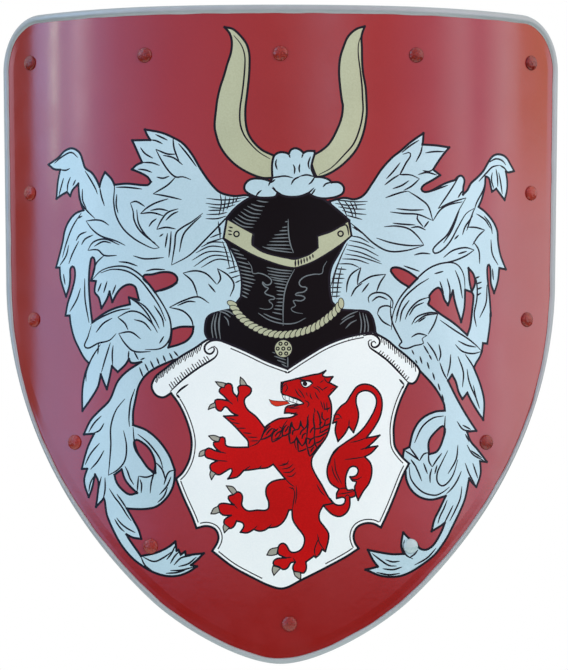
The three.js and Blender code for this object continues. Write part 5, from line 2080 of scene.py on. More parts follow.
@dataclass
class StrapCut:
    """A strap as it is cut: flat, with its edges rounded and a crease line along both of them."""

    width: float
    thickness: float
    length: float
    rounding: float = 0.7
    crease: float = 2.6
    crease_depth: float = 0.3
    bend_step: float = 2.5
    crease_half: float = 0.7
    near: tuple[float, float] = (0.01, 0.05)
    smooth: float = 35.0
    tip_steps: int = 12
    hole_sides: int = 20
    nose: Flat = (0.0, 0.0)
    holes: tuple[tuple[float, float, float], ...] = ()

    def build(self) -> bmesh.types.BMesh:
        """Cuts the strap.

        Returns:
            The strap, its x across, its y off the face, and its z along.
        """
        half = self.width / 2
        points = [(-half + self.nose[0], 0.0), (half - self.nose[0], 0.0)]
        if self.nose[0]:
            points.append((half, self.nose[0]))
        tip = self.nose[1]
        if tip:
            points += [(half * across, self.length - tip + tip * along)
                       for across, along in arc(0, 180, self.tip_steps)]
        else:
            points += [(half, self.length), (-half, self.length)]
        if self.nose[0]:
            points.append((-half, self.nose[0]))
        bm = polygon(points)
        thicken(bm, self.thickness)
        bmesh.ops.translate(bm, verts=bm.verts, vec=(0, -self.thickness / 2, 0))
        for across, along, radius in self.holes:
            bm = drill(bm, radius, self.thickness * 4, self.hole_sides, (across, 0, along))
        soften(bm, self.rounding)
        lines = [half - self.crease + shift for shift in (-self.crease_half, 0.0, self.crease_half)]
        slice_along(bm, 0, [side * line for side in (-1, 1) for line in lines])
        count = math.ceil(self.length / self.bend_step)
        slice_along(bm, 2, [self.length * i / count for i in range(1, count)])
        for vert in bm.verts:
            on_line = abs(abs(vert.co.x) - lines[1]) < self.near[0]
            if on_line and abs(vert.co.y) > self.thickness / 2 - self.near[1]:
                vert.co.y -= math.copysign(self.crease_depth, vert.co.y)
        return bm

    def leather(self, name: str, path: Path, body: str, node: str) -> bpy.types.Object:
        """Cuts the strap, lays it along a path and finishes it.

        Args:
            name: The piece's name.
            path: Where its middle runs.
            body: The body it rides on.
            node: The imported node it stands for.

        Returns:
            The strap.
        """
        bm = self.build()
        path.lay(bm)
        bmesh.ops.recalc_face_normals(bm, faces=bm.faces)
        return finished(name, bm, Finish.STRAP, "strap_leather", body, (node,), self.smooth)


@dataclass
class Stitching:
    """Hand stitches of waxed thread, each a plump grain that dips into the leather."""

    pitch: float = 5.0
    length: float = 3.9
    girth: float = 1.0
    sunk: float = 0.15
    edge: float = 4.6
    sides: tuple[int, int] = (6, 4)

    def row(self, path: Path, across: float, proud: float, start: float, end: float) -> list[Matrix]:
        """Lays out stitches along a strap.

        Args:
            path: The strap's path.
            across: Where the row runs across it.
            proud: How far off its middle the leather's face is.
            start: Where the row starts along the path.
            end: Where it ends.

        Returns:
            A placing for each stitch.
        """
        count = max(1, int((end - start) / self.pitch))
        spots = []
        for i in range(count):
            run = start + (i + 0.5) * (end - start) / count
            near, far = path.spot(across, proud, run - 0.5), path.spot(across, proud, run + 0.5)
            off = path.station(run).face * math.copysign(1.0, proud)
            spots.append(self.placing((near + far) / 2, far - near, off))
        return spots

    def placing(self, at: Vector, along: Vector, off: Vector) -> Matrix:
        """Returns a stitch's placing from its middle, its direction and the leather's outward one."""
        x = along.normalized()
        z = (off - x * off.dot(x)).normalized()
        y = z.cross(x)
        size = Vector((self.length / 2, self.girth / 2, self.girth / 2)) * MM
        turned = Matrix((x * size.x, y * size.y, z * size.z)).transposed().to_4x4()
        return Matrix.Translation(at - z * self.sunk * MM) @ turned

    def build(self, name: str, spots: list[Matrix], body: str, slot: str) -> bpy.types.Object:
        """Builds the stitches as one piece.

        Args:
            name: The piece's name.
            spots: Their placings.
            body: The body they ride on.
            slot: The record's slot.

        Returns:
            The piece.
        """
        bm = bmesh.new()
        for spot in spots:
            bmesh.ops.create_uvsphere(bm, u_segments=self.sides[0], v_segments=self.sides[1], radius=1.0,
                                      matrix=spot @ Matrix.Rotation(math.pi / 2, 4, "Y"))
        log.info("%s: %d stitches", name, len(spots))
        return finished(name, bm, Finish.THREAD, slot, body, smooth=80.0)


# The back

CORNERS = ((1, 1, 0), (-1, 1, 90), (-1, -1, 180), (1, -1, 270))
WIRE_SIDES = 16
CORNER_STEPS = 8


@dataclass
class Lining:
    """The suede lining, sewn along its edge so that it keeps its shape."""

    column: float = 8.0
    seam: float = 6.0
    seam_pitch: float = 8.0
    groove: float = 0.5
    groove_half: float = 1.6
    thread: tuple[float, float] = (6.0, 1.3)
    thread_rise: float = 0.2

    def build(self) -> None:
        """Builds the lining and its seam."""
        dips = ((0.0, 0.0), (self.seam - self.groove_half, 0.0), (self.seam, self.groove),
                (self.seam + self.groove_half, 0.0))
        insets = tuple((LAYERS.lining_inset + extra, LAYERS.lining_back - dip) for extra, dip in dips)
        bm = flat_sheet(insets, self.column, 1.0)
        thicken(bm, -LAYERS.lining)
        for vert in bm.verts:
            if vert.co.y < LAYERS.lining_front + self.groove + 0.01:
                vert.co.y = LAYERS.lining_front
        lining = finished("lining", bm, Finish.LINING, "lining_leather",
                          nodes=("leather_lining",), smooth=None)
        roll(lining)
        log.info("lining: %d faces", len(lining.data.polygons))
        self._seam()

    def _seam(self) -> None:
        """Sews the lining's seam, its stitches evenly spaced round it."""
        ring = [point.inset(LAYERS.lining_inset + self.seam) for point in OUTLINE.closed()]
        ring.append(ring[0])
        length = [0.0]
        for a, b in zip(ring, ring[1:]):
            length.append(length[-1] + math.dist(a, b))
        stitching = Stitching(length=self.thread[0], girth=self.thread[1], sunk=0.0)
        count = int(length[-1] / self.seam_pitch)
        runs = (numpy.arange(count) + 0.5) * length[-1] / count
        depth = LAYERS.lining_back - self.groove + self.thread_rise
        spots = []
        for run in runs:
            near, far = ([float(numpy.interp(run + way, length, [point[axis] for point in ring]))
                          for axis in (0, 1)] for way in (-0.5, 0.5))
            a, b = ROLL.place(near[0], depth, near[1]), ROLL.place(far[0], depth, far[1])
            spots.append(stitching.placing((a + b) / 2, b - a, -ROLL.outward(near[0])))
        stitching.build("lining_seam", spots, "shield", "lining_leather")


@dataclass(frozen=True)
class StrapSeat:
    """The flat of a cross bar where an arm strap is riveted."""

    s: float
    width: float
    spare: float = 2.0

    @property
    def half(self) -> float:
        """Returns half the flat's length."""
        return self.width / 2 + self.spare

    def frame(self, z: float) -> Matrix:
        """Finds the flat's frame: X round the curve, Y straight back, in millimetres.

        Args:
            z: The height over the sheet's middle.

        Returns:
            The frame, scaled so that millimetres fit in it.
        """
        a, b = (ROLL.place(self.s + side * self.half, LAYERS.bar_back, z) for side in (-1, 1))
        way = b - a
        return Matrix.Translation((a + b) / 2) @ Matrix.Rotation(math.atan2(way.y, way.x), 4, "Z") \
            @ Matrix.Scale(MM, 4)


@dataclass
class CrossBars:
    """The two forged bars that the side rivets hold, flat where something seats on them."""

    rows: tuple[tuple[str, float], ...] = tuple(zip(("upper", "lower"), FaceRivets.bar_rows))
    height: float = 30.0
    rivet_inset: float = FaceRivets.inset
    end_steps: int = 16
    middle_flat: float = 30.0
    column: float = 9.0
    rounding: float = 0.8
    hammered: float = 0.35

    def build(self, seats: list[StrapSeat]) -> None:
        """Builds both bars.

        Args:
            seats: Where the arm straps sit.
        """
        for word, z in self.rows:
            rivet = OUTLINE.rivet_row(z, self.rivet_inset)
            half = self.height / 2
            bm = polygon([(side * (rivet + half * out), side * half * up + z)
                          for side in (1, -1) for out, up in arc(-90, 90, self.end_steps)])
            thicken(bm, LAYERS.bar)
            bmesh.ops.translate(bm, verts=bm.verts, vec=(0, LAYERS.bar_front, 0))
            soften(bm, self.rounding)
            flats = [(0.0, self.middle_flat)] + [(seat.s, seat.half) for seat in seats]
            places = [s + side * reach for s, reach in flats for side in (-1, 1)]
            count = math.ceil(rivet / self.column)
            spaced = [rivet * i / count for i in range(-count, count + 1)]
            places += [s for s in spaced if all(abs(s - at) > reach + 1 for at, reach in flats)]
            slice_along(bm, 0, sorted(places))
            for vert in bm.verts:
                beat = math.sin(vert.co.x * 0.11 + z) * math.sin(vert.co.x * 0.037 + 2.0)
                vert.co.z += self.hammered * beat * (vert.co.z - z) / half
                vert.co = ROLL.place(*vert.co)
            finished(f"forged_bar_{word}", bm, Finish.IRON, "forged_iron",
                     nodes=(f"cross_bar_{word}",), smooth=30.0)
        log.info("cross bars: %d", len(self.rows))


@dataclass
class ArmStrap:
    """An arm strap that stands off both bars in an arch, closed on them with brass rivets."""

    name: str
    seat: StrapSeat
    thickness: float
    rise: float
    rivets: int
    half_span: float = 69.5
    bar_half: float = 15.0
    end: float = 14.0
    pitch: float = 24.0
    shank: float = 2.2
    head: float = 4.7
    head_depth: float = 2.4
    tail: float = 5.0
    tail_rise: float = 2.0
    tail_edge: float = 0.4
    soft: float = 0.2
    off: float = 0.05
    middle: float = -ROLL.middle
    square: float = 3.0
    margin: float = 6.0
    arch_steps: int = 30

    def build(self) -> None:
        """Builds the strap, its stitches and its rivets."""
        path = self._path()
        width = self.seat.width
        cut = StrapCut(width, self.thickness, path.length, nose=(self.square, 0.0), holes=tuple(
            (across, along, self.shank + LAYERS.clearance) for across in self._spots()
            for along in (self.end, path.length - self.end)))
        strap = cut.leather(f"{self.name}_leather", path, "shield", f"{self.name}_strap")
        stitching = Stitching()
        seam = width / 2 - stitching.edge
        spots = [spot for side in (-1, 1) for face in (-1, 1)
                 for spot in stitching.row(path, side * seam, face * self.thickness / 2,
                                           self.margin, path.length - self.margin)]
        stitching.build(f"{self.name}_stitches", spots, "shield", "strap_leather")
        for row, z in CrossBars().rows:
            for number, across in enumerate(self._spots(), 1):
                rivet = lathe(self._rivet())
                bmesh.ops.translate(rivet, verts=rivet.verts, vec=(across, 0, 0))
                bmesh.ops.transform(rivet, verts=rivet.verts, matrix=self.seat.frame(z))
                finished(f"{self.name}_stud_{row}_{number}", rivet, Finish.BRASS, "brass",
                         nodes=(f"{self.name}_rivet_{row}_{number}",), smooth=35.0)
        log.info("%s strap: %d faces, %.0f mm long", self.name, len(strap.data.polygons), path.length)

    def _spots(self) -> list[float]:
        """Returns where its rivets sit across it."""
        return [(i - (self.rivets - 1) / 2) * self.pitch for i in range(self.rivets)]

    def _path(self) -> Path:
        """Draws the strap's run: flat on the upper bar, over the arch, and flat on the lower one.

        Returns:
            The path of its middle.
        """
        flat = LAYERS.clearance + self.thickness / 2
        lift = self.half_span - self.bar_half + self.thickness
        crown = self.rise + self.thickness / 2
        handles = [Vector((0, flat, lift)), Vector((0, flat, lift / 2)), Vector((0, crown, lift)),
                   Vector((0, crown, 0))]
        arch = [cubic(*handles, i / self.arch_steps) for i in range(self.arch_steps + 1)]
        upper = [Vector((0, flat, self.half_span + self.end)), Vector((0, flat, self.half_span))] + arch
        points = upper + [Vector((p.x, p.y, -p.z)) for p in reversed(upper[:-1])]
        frame = self.seat.frame(self.middle)
        wide = (frame.to_3x3() @ Vector((1, 0, 0))).normalized()
        return Path([frame @ point for point in points], [wide] * len(points))

    def _rivet(self) -> list[Flat]:
        """Draws half a rivet, from the sunk head to the top of its dome.

        Returns:
            Pairs of radius and depth.
        """
        front, tail = -LAYERS.bar, self.thickness + LAYERS.clearance + self.off
        foot = tail + self.tail_edge
        dome = [(self.tail * out, foot + (self.tail_rise - self.soft) * down) for down, out in TAIL_ARC]
        return [(0.0, front), (self.head, front), (self.shank, front + self.head_depth), (self.shank, tail),
                (self.tail - self.soft, tail), (self.tail, foot)] + dome


@dataclass
class ArmPad:
    """The stuffed cushion behind the forearm, with sewn channels and a flange sewn to the lining."""

    centre: float = 20.0
    middle: float = -ROLL.middle
    length: float = 290.0
    height: float = 92.0
    drawn_in: float = 4.0
    flange: float = 7.0
    flange_thickness: float = 1.6
    start_rise: float = 13.0
    rise: float = 22.0
    channels: int = 4
    channel_depth: float = 5.0
    channel_width: float = 3.6
    channel_end: int = 6
    channel_root: float = 1.5
    rounded: float = 60.0
    voxel: float = 5.0
    swell: float = 9.0
    pressure: float = 4.0
    frames: int = 20
    corner: float = 14.0
    corner_steps: int = 6
    edge_step: float = 6.0
    ease: tuple[float, float] = (40.0, 20.0)
    soft: float = 4.0
    flange_soft: float = 0.5
    off: float = 0.05
    column: float = 8.0
    seam_share: float = 0.45
    thread: float = 1.1

    def build(self) -> None:
        """Builds the cushion, its flange and its stitches."""
        body = self._stuffed()
        mesh = body.data
        half_long, half_high = self.length / 2, self.height / 2
        depths = [vertex.co.y for vertex in mesh.vertices]
        low, high = LAYERS.bar_front, LAYERS.bar_front + self.rise
        top = max(depths)
        for vertex in mesh.vertices:
            u = (vertex.co.x - self.centre) / half_long
            v = (vertex.co.z - self.middle) / half_high
            raised = max(0.0, (vertex.co.y - low) / (top - low))
            lie = low + raised * (high - low)
            fade = max(0.0, 1.0 - abs(v) ** self.channel_end) * min(1.0, raised * self.channel_root)
            for k in range(self.channels):
                gap = (u - (2 * (k + 1) / (self.channels + 1) - 1)) * half_long
                lie -= self.channel_depth * fade * math.exp(-(gap / self.channel_width) ** 2)
            vertex.co.y = max(low, lie)
        mesh.shade_smooth()
        roll(body, self.rounded)
        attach(body, "shield")
        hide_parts("arm_pad")
        log.info("pad: %d faces", len(mesh.polygons))
        self._flange()

    def _outline(self, inset: float) -> list[Flat]:
        """Draws the cushion's outline, its sides drawn in a little by the stuffing.

        Args:
            inset: How far inside the edge it runs.

        Returns:
            Evenly spaced places round it.
        """
        half_long, half_high = self.length / 2 - inset, self.height / 2 - inset
        corner = self.corner - inset
        points = [(x * (half_long - corner) + corner * out, z * (half_high - corner) + corner * up)
                  for x, z, start in CORNERS for out, up in arc(start, start + 90, self.corner_steps)]
        full = []
        for a, b in zip(points, points[1:] + points[:1]):
            steps = max(1, math.ceil(math.dist(a, b) / self.edge_step))
            full += [(a[0] + (b[0] - a[0]) * i / steps, a[1] + (b[1] - a[1]) * i / steps)
                     for i in range(steps)]
        return [(self.centre + self._pulled(x, z / half_high, self.ease[0]),
                 self.middle + self._pulled(z, x / half_long, self.ease[1])) for x, z in full]

    def _pulled(self, way: float, along: float, ease: float) -> float:
        """Draws a side in.

        Args:
            way: The distance from the middle line, out to the side.
            along: The share of the way to the side's ends.
            ease: The distance over which the pull sets in.

        Returns:
            The distance as drawn in.
        """
        return way - math.copysign(self.drawn_in * (1 - along ** 2), way) * min(1, abs(way) / ease)

    def _stuffed(self) -> bpy.types.Object:
        """Blows the cushion up with a cloth solver, within bounds.

        Returns:
            The cushion, flat and in millimetres.
        """
        bm = polygon(self._outline(self.flange))
        thicken(bm, self.start_rise)
        bmesh.ops.translate(bm, verts=bm.verts, vec=(0, LAYERS.bar_front, 0))
        soften(bm, self.soft, 3)
        bmesh.ops.triangulate(bm, faces=bm.faces)
        bmesh.ops.scale(bm, verts=bm.verts, vec=(MM, MM, MM))
        mesh = bpy.data.meshes.new("stuffed_pad")
        bm.to_mesh(mesh)
        bm.free()
        mesh.materials.append(Finish.PAD.material)
        body = bpy.data.objects.new("stuffed_pad", mesh)
        bpy.context.scene.collection.objects.link(body)
        remesh = body.modifiers.new("remesh", "REMESH")
        remesh.mode, remesh.voxel_size = "VOXEL", self.voxel * MM
        self._apply(body)
        before = [vertex.co.copy() for vertex in body.data.vertices]
        cloth = body.modifiers.new("cloth", "CLOTH")
        cloth.settings.use_pressure = True
        cloth.settings.uniform_pressure_force = self.pressure
        cloth.settings.effector_weights.gravity = 0.0
        scene = bpy.context.scene
        for number in range(1, self.frames + 1):
            scene.frame_set(number)
        self._apply(body)
        scene.frame_set(1)
        for vertex, start in zip(body.data.vertices, before):
            move = vertex.co - start
            if move.length > self.swell * MM:
                vertex.co = start + move.normalized() * self.swell * MM
            vertex.co.y = max(vertex.co.y, LAYERS.bar_front * MM)
        divide = body.modifiers.new("divide", "SUBSURF")
        divide.levels = divide.render_levels = 1
        self._apply(body)
        body.data.transform(Matrix.Scale(1 / MM, 4))
        return body

    @staticmethod
    def _apply(body: bpy.types.Object) -> None:
        """Gives a piece the mesh that its modifiers make of it."""
        old = body.data
        made = bpy.data.meshes.new_from_object(body.evaluated_get(bpy.context.evaluated_depsgraph_get()))
        body.modifiers.clear()
        body.data = made
        bpy.data.meshes.remove(old)

    def _flange(self) -> None:
        """Builds the flange and the stitches that hold it."""
        bm = polygon(self._outline(self.flange_soft))
        thicken(bm, self.flange_thickness)
        bmesh.ops.translate(bm, verts=bm.verts, vec=(0, LAYERS.lining_back + self.off, 0))
        soften(bm, self.flange_soft)
        columns = math.ceil(self.length / self.column)
        slice_along(bm, 0, [self.centre - self.length / 2 + self.length * i / columns
                            for i in range(1, columns)])
        flange = finished("pad_flange", bm, Finish.PAD, "pad_leather", smooth=None)
        roll(flange)
        stitching = Stitching(girth=self.thread)
        ring = self._outline(self.flange * self.seam_share)
        spots = []
        depth = LAYERS.lining_back + self.off + self.flange_thickness
        for a, b in zip(ring, ring[1:] + ring[:1]):
            near, far = ROLL.place(a[0], depth, a[1]), ROLL.place(b[0], depth, b[1])
            if (far - near).length > stitching.length * MM:
                spots.append(stitching.placing((near + far) / 2, far - near, -ROLL.outward(a[0])))
        stitching.build("pad_stitches", spots, "shield", "pad_leather")


@dataclass
class Carriage:
    """Where the shoulder strap hangs: its lugs and rings."""

    wire: float = 2.5
    drop: float = 22.0
    corner: float = 5.0
    strap_width: float = 28.0
    play: float = 2.0
    lug_soft: float = 0.6
    lug_angle: float = 50.0
    lug_smooth: float = 35.0
    weld: float = 0.00002
    level: float = 2.0

    def eye(self, word: str) -> Vector:
        """Finds the middle of a lug's eye, where the ring hangs.

        Args:
            word: Left or right.

        Returns:
            The place in metres.
        """
        low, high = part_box(f"ring_{word}")
        return Vector(((low.x + high.x) / 2, (low.y + high.y) / 2, high.z - self.wire * MM))

    def build(self) -> None:
        """Builds the lugs and the rings."""
        for word in ("left", "right"):
            self._lug(word)
            eye = self.eye(word)
            across = self.strap_width + 2 * (self.play + self.wire)
            bm = wire_loop(eye, across, self.drop, self.corner, self.wire)
            finished(f"wire_ring_{word}", bm, Finish.IRON, "forged_iron", f"{word}_ring", (f"ring_{word}",))
        log.info("lugs and rings: 2 each")

    def _lug(self, word: str) -> None:
        """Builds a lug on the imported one, its edges softened."""
        bm = bmesh.new()
        bm.from_mesh(frame["nodes"][f"lug_{word}"].data)
        bmesh.ops.remove_doubles(bm, verts=bm.verts, dist=self.weld)
        bmesh.ops.dissolve_limit(bm, angle_limit=math.radians(self.level), verts=bm.verts, edges=bm.edges)
        soften(bm, self.lug_soft * MM, angle=self.lug_angle)
        finished(f"bent_lug_{word}", bm, Finish.IRON, "forged_iron", nodes=(f"lug_{word}",),
                 smooth=self.lug_smooth)


def wire_loop(hung: Vector, across: float, drop: float, corner: float, radius: float) -> bmesh.types.BMesh:
    """Bends round wire into a loop that hangs from the middle of its upper bar.

    Args:
        hung: The middle of the upper bar, in metres.
        across: The loop's width between the middles of its sides, in millimetres.
        drop: Its height, measured the same way.
        corner: The radius of its corners.
        radius: The wire's radius.

    Returns:
        The loop.
    """
    half, low = across / 2 - corner, drop - corner
    section = arc(0, 360, WIRE_SIDES)[:-1]
    path = []
    for x, z, start in ((half, -corner, 90), (half, -low, 0), (-half, -low, -90), (-half, -corner, -180)):
        for right, up in arc(start, start - 90, CORNER_STEPS):
            out = Vector((right, 0, up))
            at = Vector((x, 0, z)) + out * corner
            path.append([hung + (at + out * radius * way + Vector((0, radius * back, 0))) * MM
                         for way, back in section])
    return sweep(path)


@dataclass
class ShoulderStrap:
    """The shoulder strap in its two parts, with its buckle, prong and keeper."""

    carriage: Carriage
    width: float = 28.0
    thickness: float = 3.0
    hang: float = 80.0
    buckle: float = 30.0
    buckle_wire: float = 2.2
    fold: float = 14.0
    return_ply: float = 55.0
    ply_gap: float = 2.0
    tongue: float = 52.0
    keeper_wall: float = 2.0
    prong_width: float = 4.0
    prong_thickness: float = 2.0
    prong_overhang: float = 3.0
    slot_pitch: float = 3.0
    hole: float = 2.2
    hole_pitch: float = 22.0
    spare_holes: int = 3
    straight_left: float = 70.0
    straight_right: float = 195.0
    slack: float = 405.0
    twist: float = 0.36
    round_steps: int = 16
    loop_steps: int = 120
    lead: float = 6.0
    long_lead: float = 8.0
    rest: float = 12.0
    square: float = 3.0
    slot_end: float = 5.0
    seam_start: tuple[float, float] = (4.0, 3.0)
    seam_end: tuple[float, float] = (2.0, 4.0)
    pull_in: float = 1.0
    push_out: float = 0.2
    slot_holes: int = 5
    slot_play: float = 0.8
    bend_step: tuple[float, float] = (3.0, 2.0)
    thread: tuple[float, float] = (4.5, 3.4)
    prong_steps: int = 28
    prong_soft: tuple[float, float] = (0.5, 50.0)
    prong_slope: float = 8.0
    keeper_corner: float = 0.6
    keeper_soft: tuple[float, float] = (0.5, 0.4)

    @property
    def ply(self) -> float:
        """Returns how far a ply's middle lies from the fold's middle."""
        return self.thickness / 2 + LAYERS.clearance / 2

    def turn_radius(self, wire: float) -> float:
        """Returns the radius of a fold's middle round a wire."""
        return wire + LAYERS.clearance + self.thickness / 2

    def build(self) -> None:
        """Builds the strap's parts."""
        self._long_strap()
        self._buckle_strap()
        self._buckle()
        self._keeper()

    def _bar(self, word: str) -> Vector:
        """Returns the middle of a ring's lower bar."""
        return self.carriage.eye(word) - Vector((0, 0, self.carriage.drop * MM))

    def _round(self, wire: float, down: float, over: bool) -> list[Flat]:
        """Folds the strap round a wire.

        Args:
            wire: The wire's radius.
            down: How far below the bar the wire is.
            over: Whether the fold goes over the wire, or under it.

        Returns:
            Pairs of distances back from the bar and down from it.
        """
        radius = self.turn_radius(wire) * (1 if over else -1)
        return [(radius * back, down - radius * up) for back, up in arc(180, 0, self.round_steps)]

    @staticmethod
    def _hung(bar: Vector, spots: list[Flat]) -> list[Vector]:
        """Returns the places that lie back from a bar and down from it."""
        return [bar + Vector((0, back, -down)) * MM for back, down in spots]

    def _loop(self) -> tuple[list[Vector], list[Vector]]:
        """Hangs the long strap's loop, which twists so that its face lies on the wearer.

        Returns:
            The places of its middle, and the direction of its width at each.
        """
        left, right = self._bar("left"), self._bar("right")
        start = left + Vector((0, self.ply, -self.straight_left)) * MM
        end = right + Vector((0, -self.turn_radius(self.buckle_wire), -self.straight_right)) * MM
        pull = Vector((0, 0, -self.slack * MM))
        handles = (start, start + pull, end + pull, end)
        points, wides = [], []
        for i in range(self.loop_steps + 1):
            t = i / self.loop_steps
            points.append(cubic(*handles, t))
            flat = cubic_way(*handles, t).cross(Vector((0, 1, 0))).normalized()
            share = min(1.0, min(t, 1 - t) / self.twist)
            turn = share * share * (3 - 2 * share) * math.pi / 2
            wides.append(flat * math.cos(turn) + Vector((0, math.sin(turn), 0)))
        return points, wides

    def _long_strap(self) -> None:
        """Builds the long part: sewn round the left ring, and threaded through the buckle."""
        under = self.turn_radius(self.buckle_wire)
        over = under + self.thickness + LAYERS.clearance
        heel, tip = self.hang, self.hang + self.buckle
        left = eased(self._hung(self._bar("left"), [
            (-self.ply, self.return_ply), *self._ring_fold()]))
        loop, wides = self._loop()
        outer = self.ply + self.thickness + LAYERS.clearance
        right = eased(self._hung(self._bar("right"), [
            (-under, tip + self.rest), (-under, tip + self.buckle_wire), (-under, tip - self.pull_in),
            (over, heel + under), (over + self.push_out, heel), (over, heel - under),
            (outer, heel - self.fold), (outer, heel - self.fold - self.long_lead),
            (outer, heel - self.tongue)]))
        points = left + loop + right
        across = [Vector((1, 0, 0))] * len(left) + wides + [Vector((-1, 0, 0))] * len(right)
        path = Path(points, across)
        end = path.length
        heel_run = self._run_near(path, self._bar("right") + Vector((0, over, -heel)) * MM)
        tip_run = self._run_near(path, self._bar("right") + Vector((0, -under, -tip)) * MM)
        holes = [(0.0, heel_run - self.slot_end - i * self.slot_pitch, self.prong_width / 2 + self.slot_play)
                 for i in range(self.slot_holes)]
        holes += [(0.0, tip_run - self.hole_pitch * (i + 1), self.hole) for i in range(self.spare_holes)]
        holes.append((0.0, heel_run + self.hole_pitch, self.hole))
        cut = StrapCut(self.width, self.thickness, end, nose=(self.square, self.rest), holes=tuple(holes),
                       bend_step=self.bend_step[0])
        strap = cut.leather("long_strap_leather", path, "shoulder_strap", "guige_long_strap")
        log.info("long strap: %d faces, %.0f mm long", len(strap.data.polygons), end)
        stitching = Stitching(*self.thread)
        spots = []
        for side in (-1, 1):
            spots += stitching.row(path, side * (self.width / 2 - stitching.edge), -self.thickness / 2,
                                   self.seam_start[0], self.return_ply - self.fold - self.seam_end[0])
        stitching.build("long_strap_stitches", spots, "shoulder_strap", "strap_leather")

    def _ring_fold(self) -> list[Flat]:
        """Returns the fold round a ring, with a straight lead on both sides."""
        lead = (self.fold + self.lead, self.fold)
        return [*((-self.ply, down) for down in lead), *self._round(self.carriage.wire, 0.0, True),
                *((self.ply, down) for down in reversed(lead))]

    @staticmethod
    def _run_near(path: Path, at: Vector) -> float:
        """Returns how far along a path its nearest place to a given one is."""
        gaps = [(station.at - at).length for station in path.stations]
        return path.lengths[gaps.index(min(gaps))]

    def _buckle_strap(self) -> None:
        """Builds the short part, folded through the right ring and round the buckle's heel."""
        butt, low = self.hang / 2, self.hang - self.fold
        spots = [(-self.ply, butt - self.ply_gap / 2), *self._ring_fold(), (self.ply, low - self.lead),
                 (self.ply, low), *self._round(self.buckle_wire, self.hang, False),
                 (-self.ply, low), (-self.ply, low - self.lead), (-self.ply, butt + self.ply_gap / 2)]
        points = eased(self._hung(self._bar("right"), spots))
        path = Path(points, [Vector((1, 0, 0))] * len(points))
        down = self.hang + self.turn_radius(self.buckle_wire)
        heel_run = self._run_near(path, self._bar("right") - Vector((0, 0, down)) * MM)
        holes = tuple((0.0, heel_run + self.slot_pitch * i, self.prong_width / 2 + self.slot_play)
                      for i in range(-self.slot_holes, self.slot_holes + 1))
        cut = StrapCut(self.width, self.thickness, path.length, holes=holes, bend_step=self.bend_step[1])
        cut.leather("buckle_strap_leather", path, "shoulder_strap", "guige_buckle_strap")
        stitching = Stitching(*self.thread)
        start, reach = self.seam_start[1], butt - self.fold - self.seam_end[1]
        rows = ((start, reach), (path.length - reach, path.length - start))
        seam = self.width / 2 - stitching.edge
        spots = [spot for side in (-1, 1) for row in rows
                 for spot in stitching.row(path, side * seam, -self.thickness / 2, *row)]
        stitching.build("buckle_strap_stitches", spots, "shoulder_strap", "strap_leather")
        log.info("buckle strap: %.0f mm round", path.length)

    def _buckle(self) -> None:
        """Builds the buckle's frame and its prong."""
        heel = self._bar("right") - Vector((0, 0, self.hang * MM))
        across = self.width + 2 * (self.carriage.play + self.buckle_wire)
        bm = wire_loop(heel, across, self.buckle, self.carriage.corner, self.buckle_wire)
        finished("cast_buckle", bm, Finish.BRASS, "brass", "shoulder_strap", ("buckle_frame",))
        bore = self.buckle_wire + LAYERS.clearance
        eye = bore + self.prong_thickness
        end = self.buckle + self.buckle_wire + self.prong_overhang
        first = math.atan2(bore, math.sqrt(eye ** 2 - bore ** 2))
        shape = [(eye * down, eye * back)
                 for down, back in arc(90, 360 + math.degrees(first), self.prong_steps)]
        shape += [(end, bore), (end + 0.3, bore + 0.5), (end - 0.4, bore + self.prong_thickness * 0.6),
                  (end - self.prong_thickness * 1.5, eye - 0.2), (end - self.prong_slope, eye)]
        prong = polygon([(back, -down) for down, back in shape])
        thicken(prong, self.prong_width)
        bmesh.ops.translate(prong, verts=prong.verts, vec=(0, -self.prong_width / 2, 0))
        prong = drill(prong, bore, self.prong_width * 3, self.prong_steps)
        soften(prong, self.prong_soft[0], angle=self.prong_soft[1])
        turn = Matrix.Rotation(math.pi / 2, 4, "Z")
        bmesh.ops.transform(prong, verts=prong.verts,
                            matrix=Matrix.Translation(heel) @ turn @ Matrix.Scale(MM, 4))
        finished("buckle_tongue", prong, Finish.BRASS, "brass", "prong", ("buckle_prong",), 35.0)
        log.info("buckle and its prong")

    def _keeper(self) -> None:
        """Builds the keeper, a leather loop with rounded corners."""
        low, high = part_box("strap_keeper")
        middle = (low + high) / 2
        half_x, half_y, height = (high - low) / 2 / MM
        corner = self.keeper_wall + self.keeper_corner
        inner = corner - self.keeper_wall
        soft, fine = self.keeper_soft
        section = ((corner, -height + soft), (corner, height - soft), (corner - soft, height),
                   (inner + fine, height), (inner, height - fine), (inner, -height + fine),
                   (inner + fine, -height), (corner - soft, -height))
        path = []
        for x, y, start in CORNERS:
            centre = Vector((x * (half_x - corner), y * (half_y - corner), 0))
            for right, back in arc(start, start + 90, 6):
                out = Vector((right, back, 0))
                path.append([middle + (centre + out * reach + Vector((0, 0, up))) * MM
                             for reach, up in section])
        finished("keeper_leather", sweep(path), Finish.STRAP, "strap_leather", "shoulder_strap",
                 ("strap_keeper",))
        log.info("keeper")


# The studio


@dataclass(frozen=True)
class Glow:
    """What the gloss sees in one direction: how far round to the right of the camera, and its light."""

    turn: float
    light: Colour


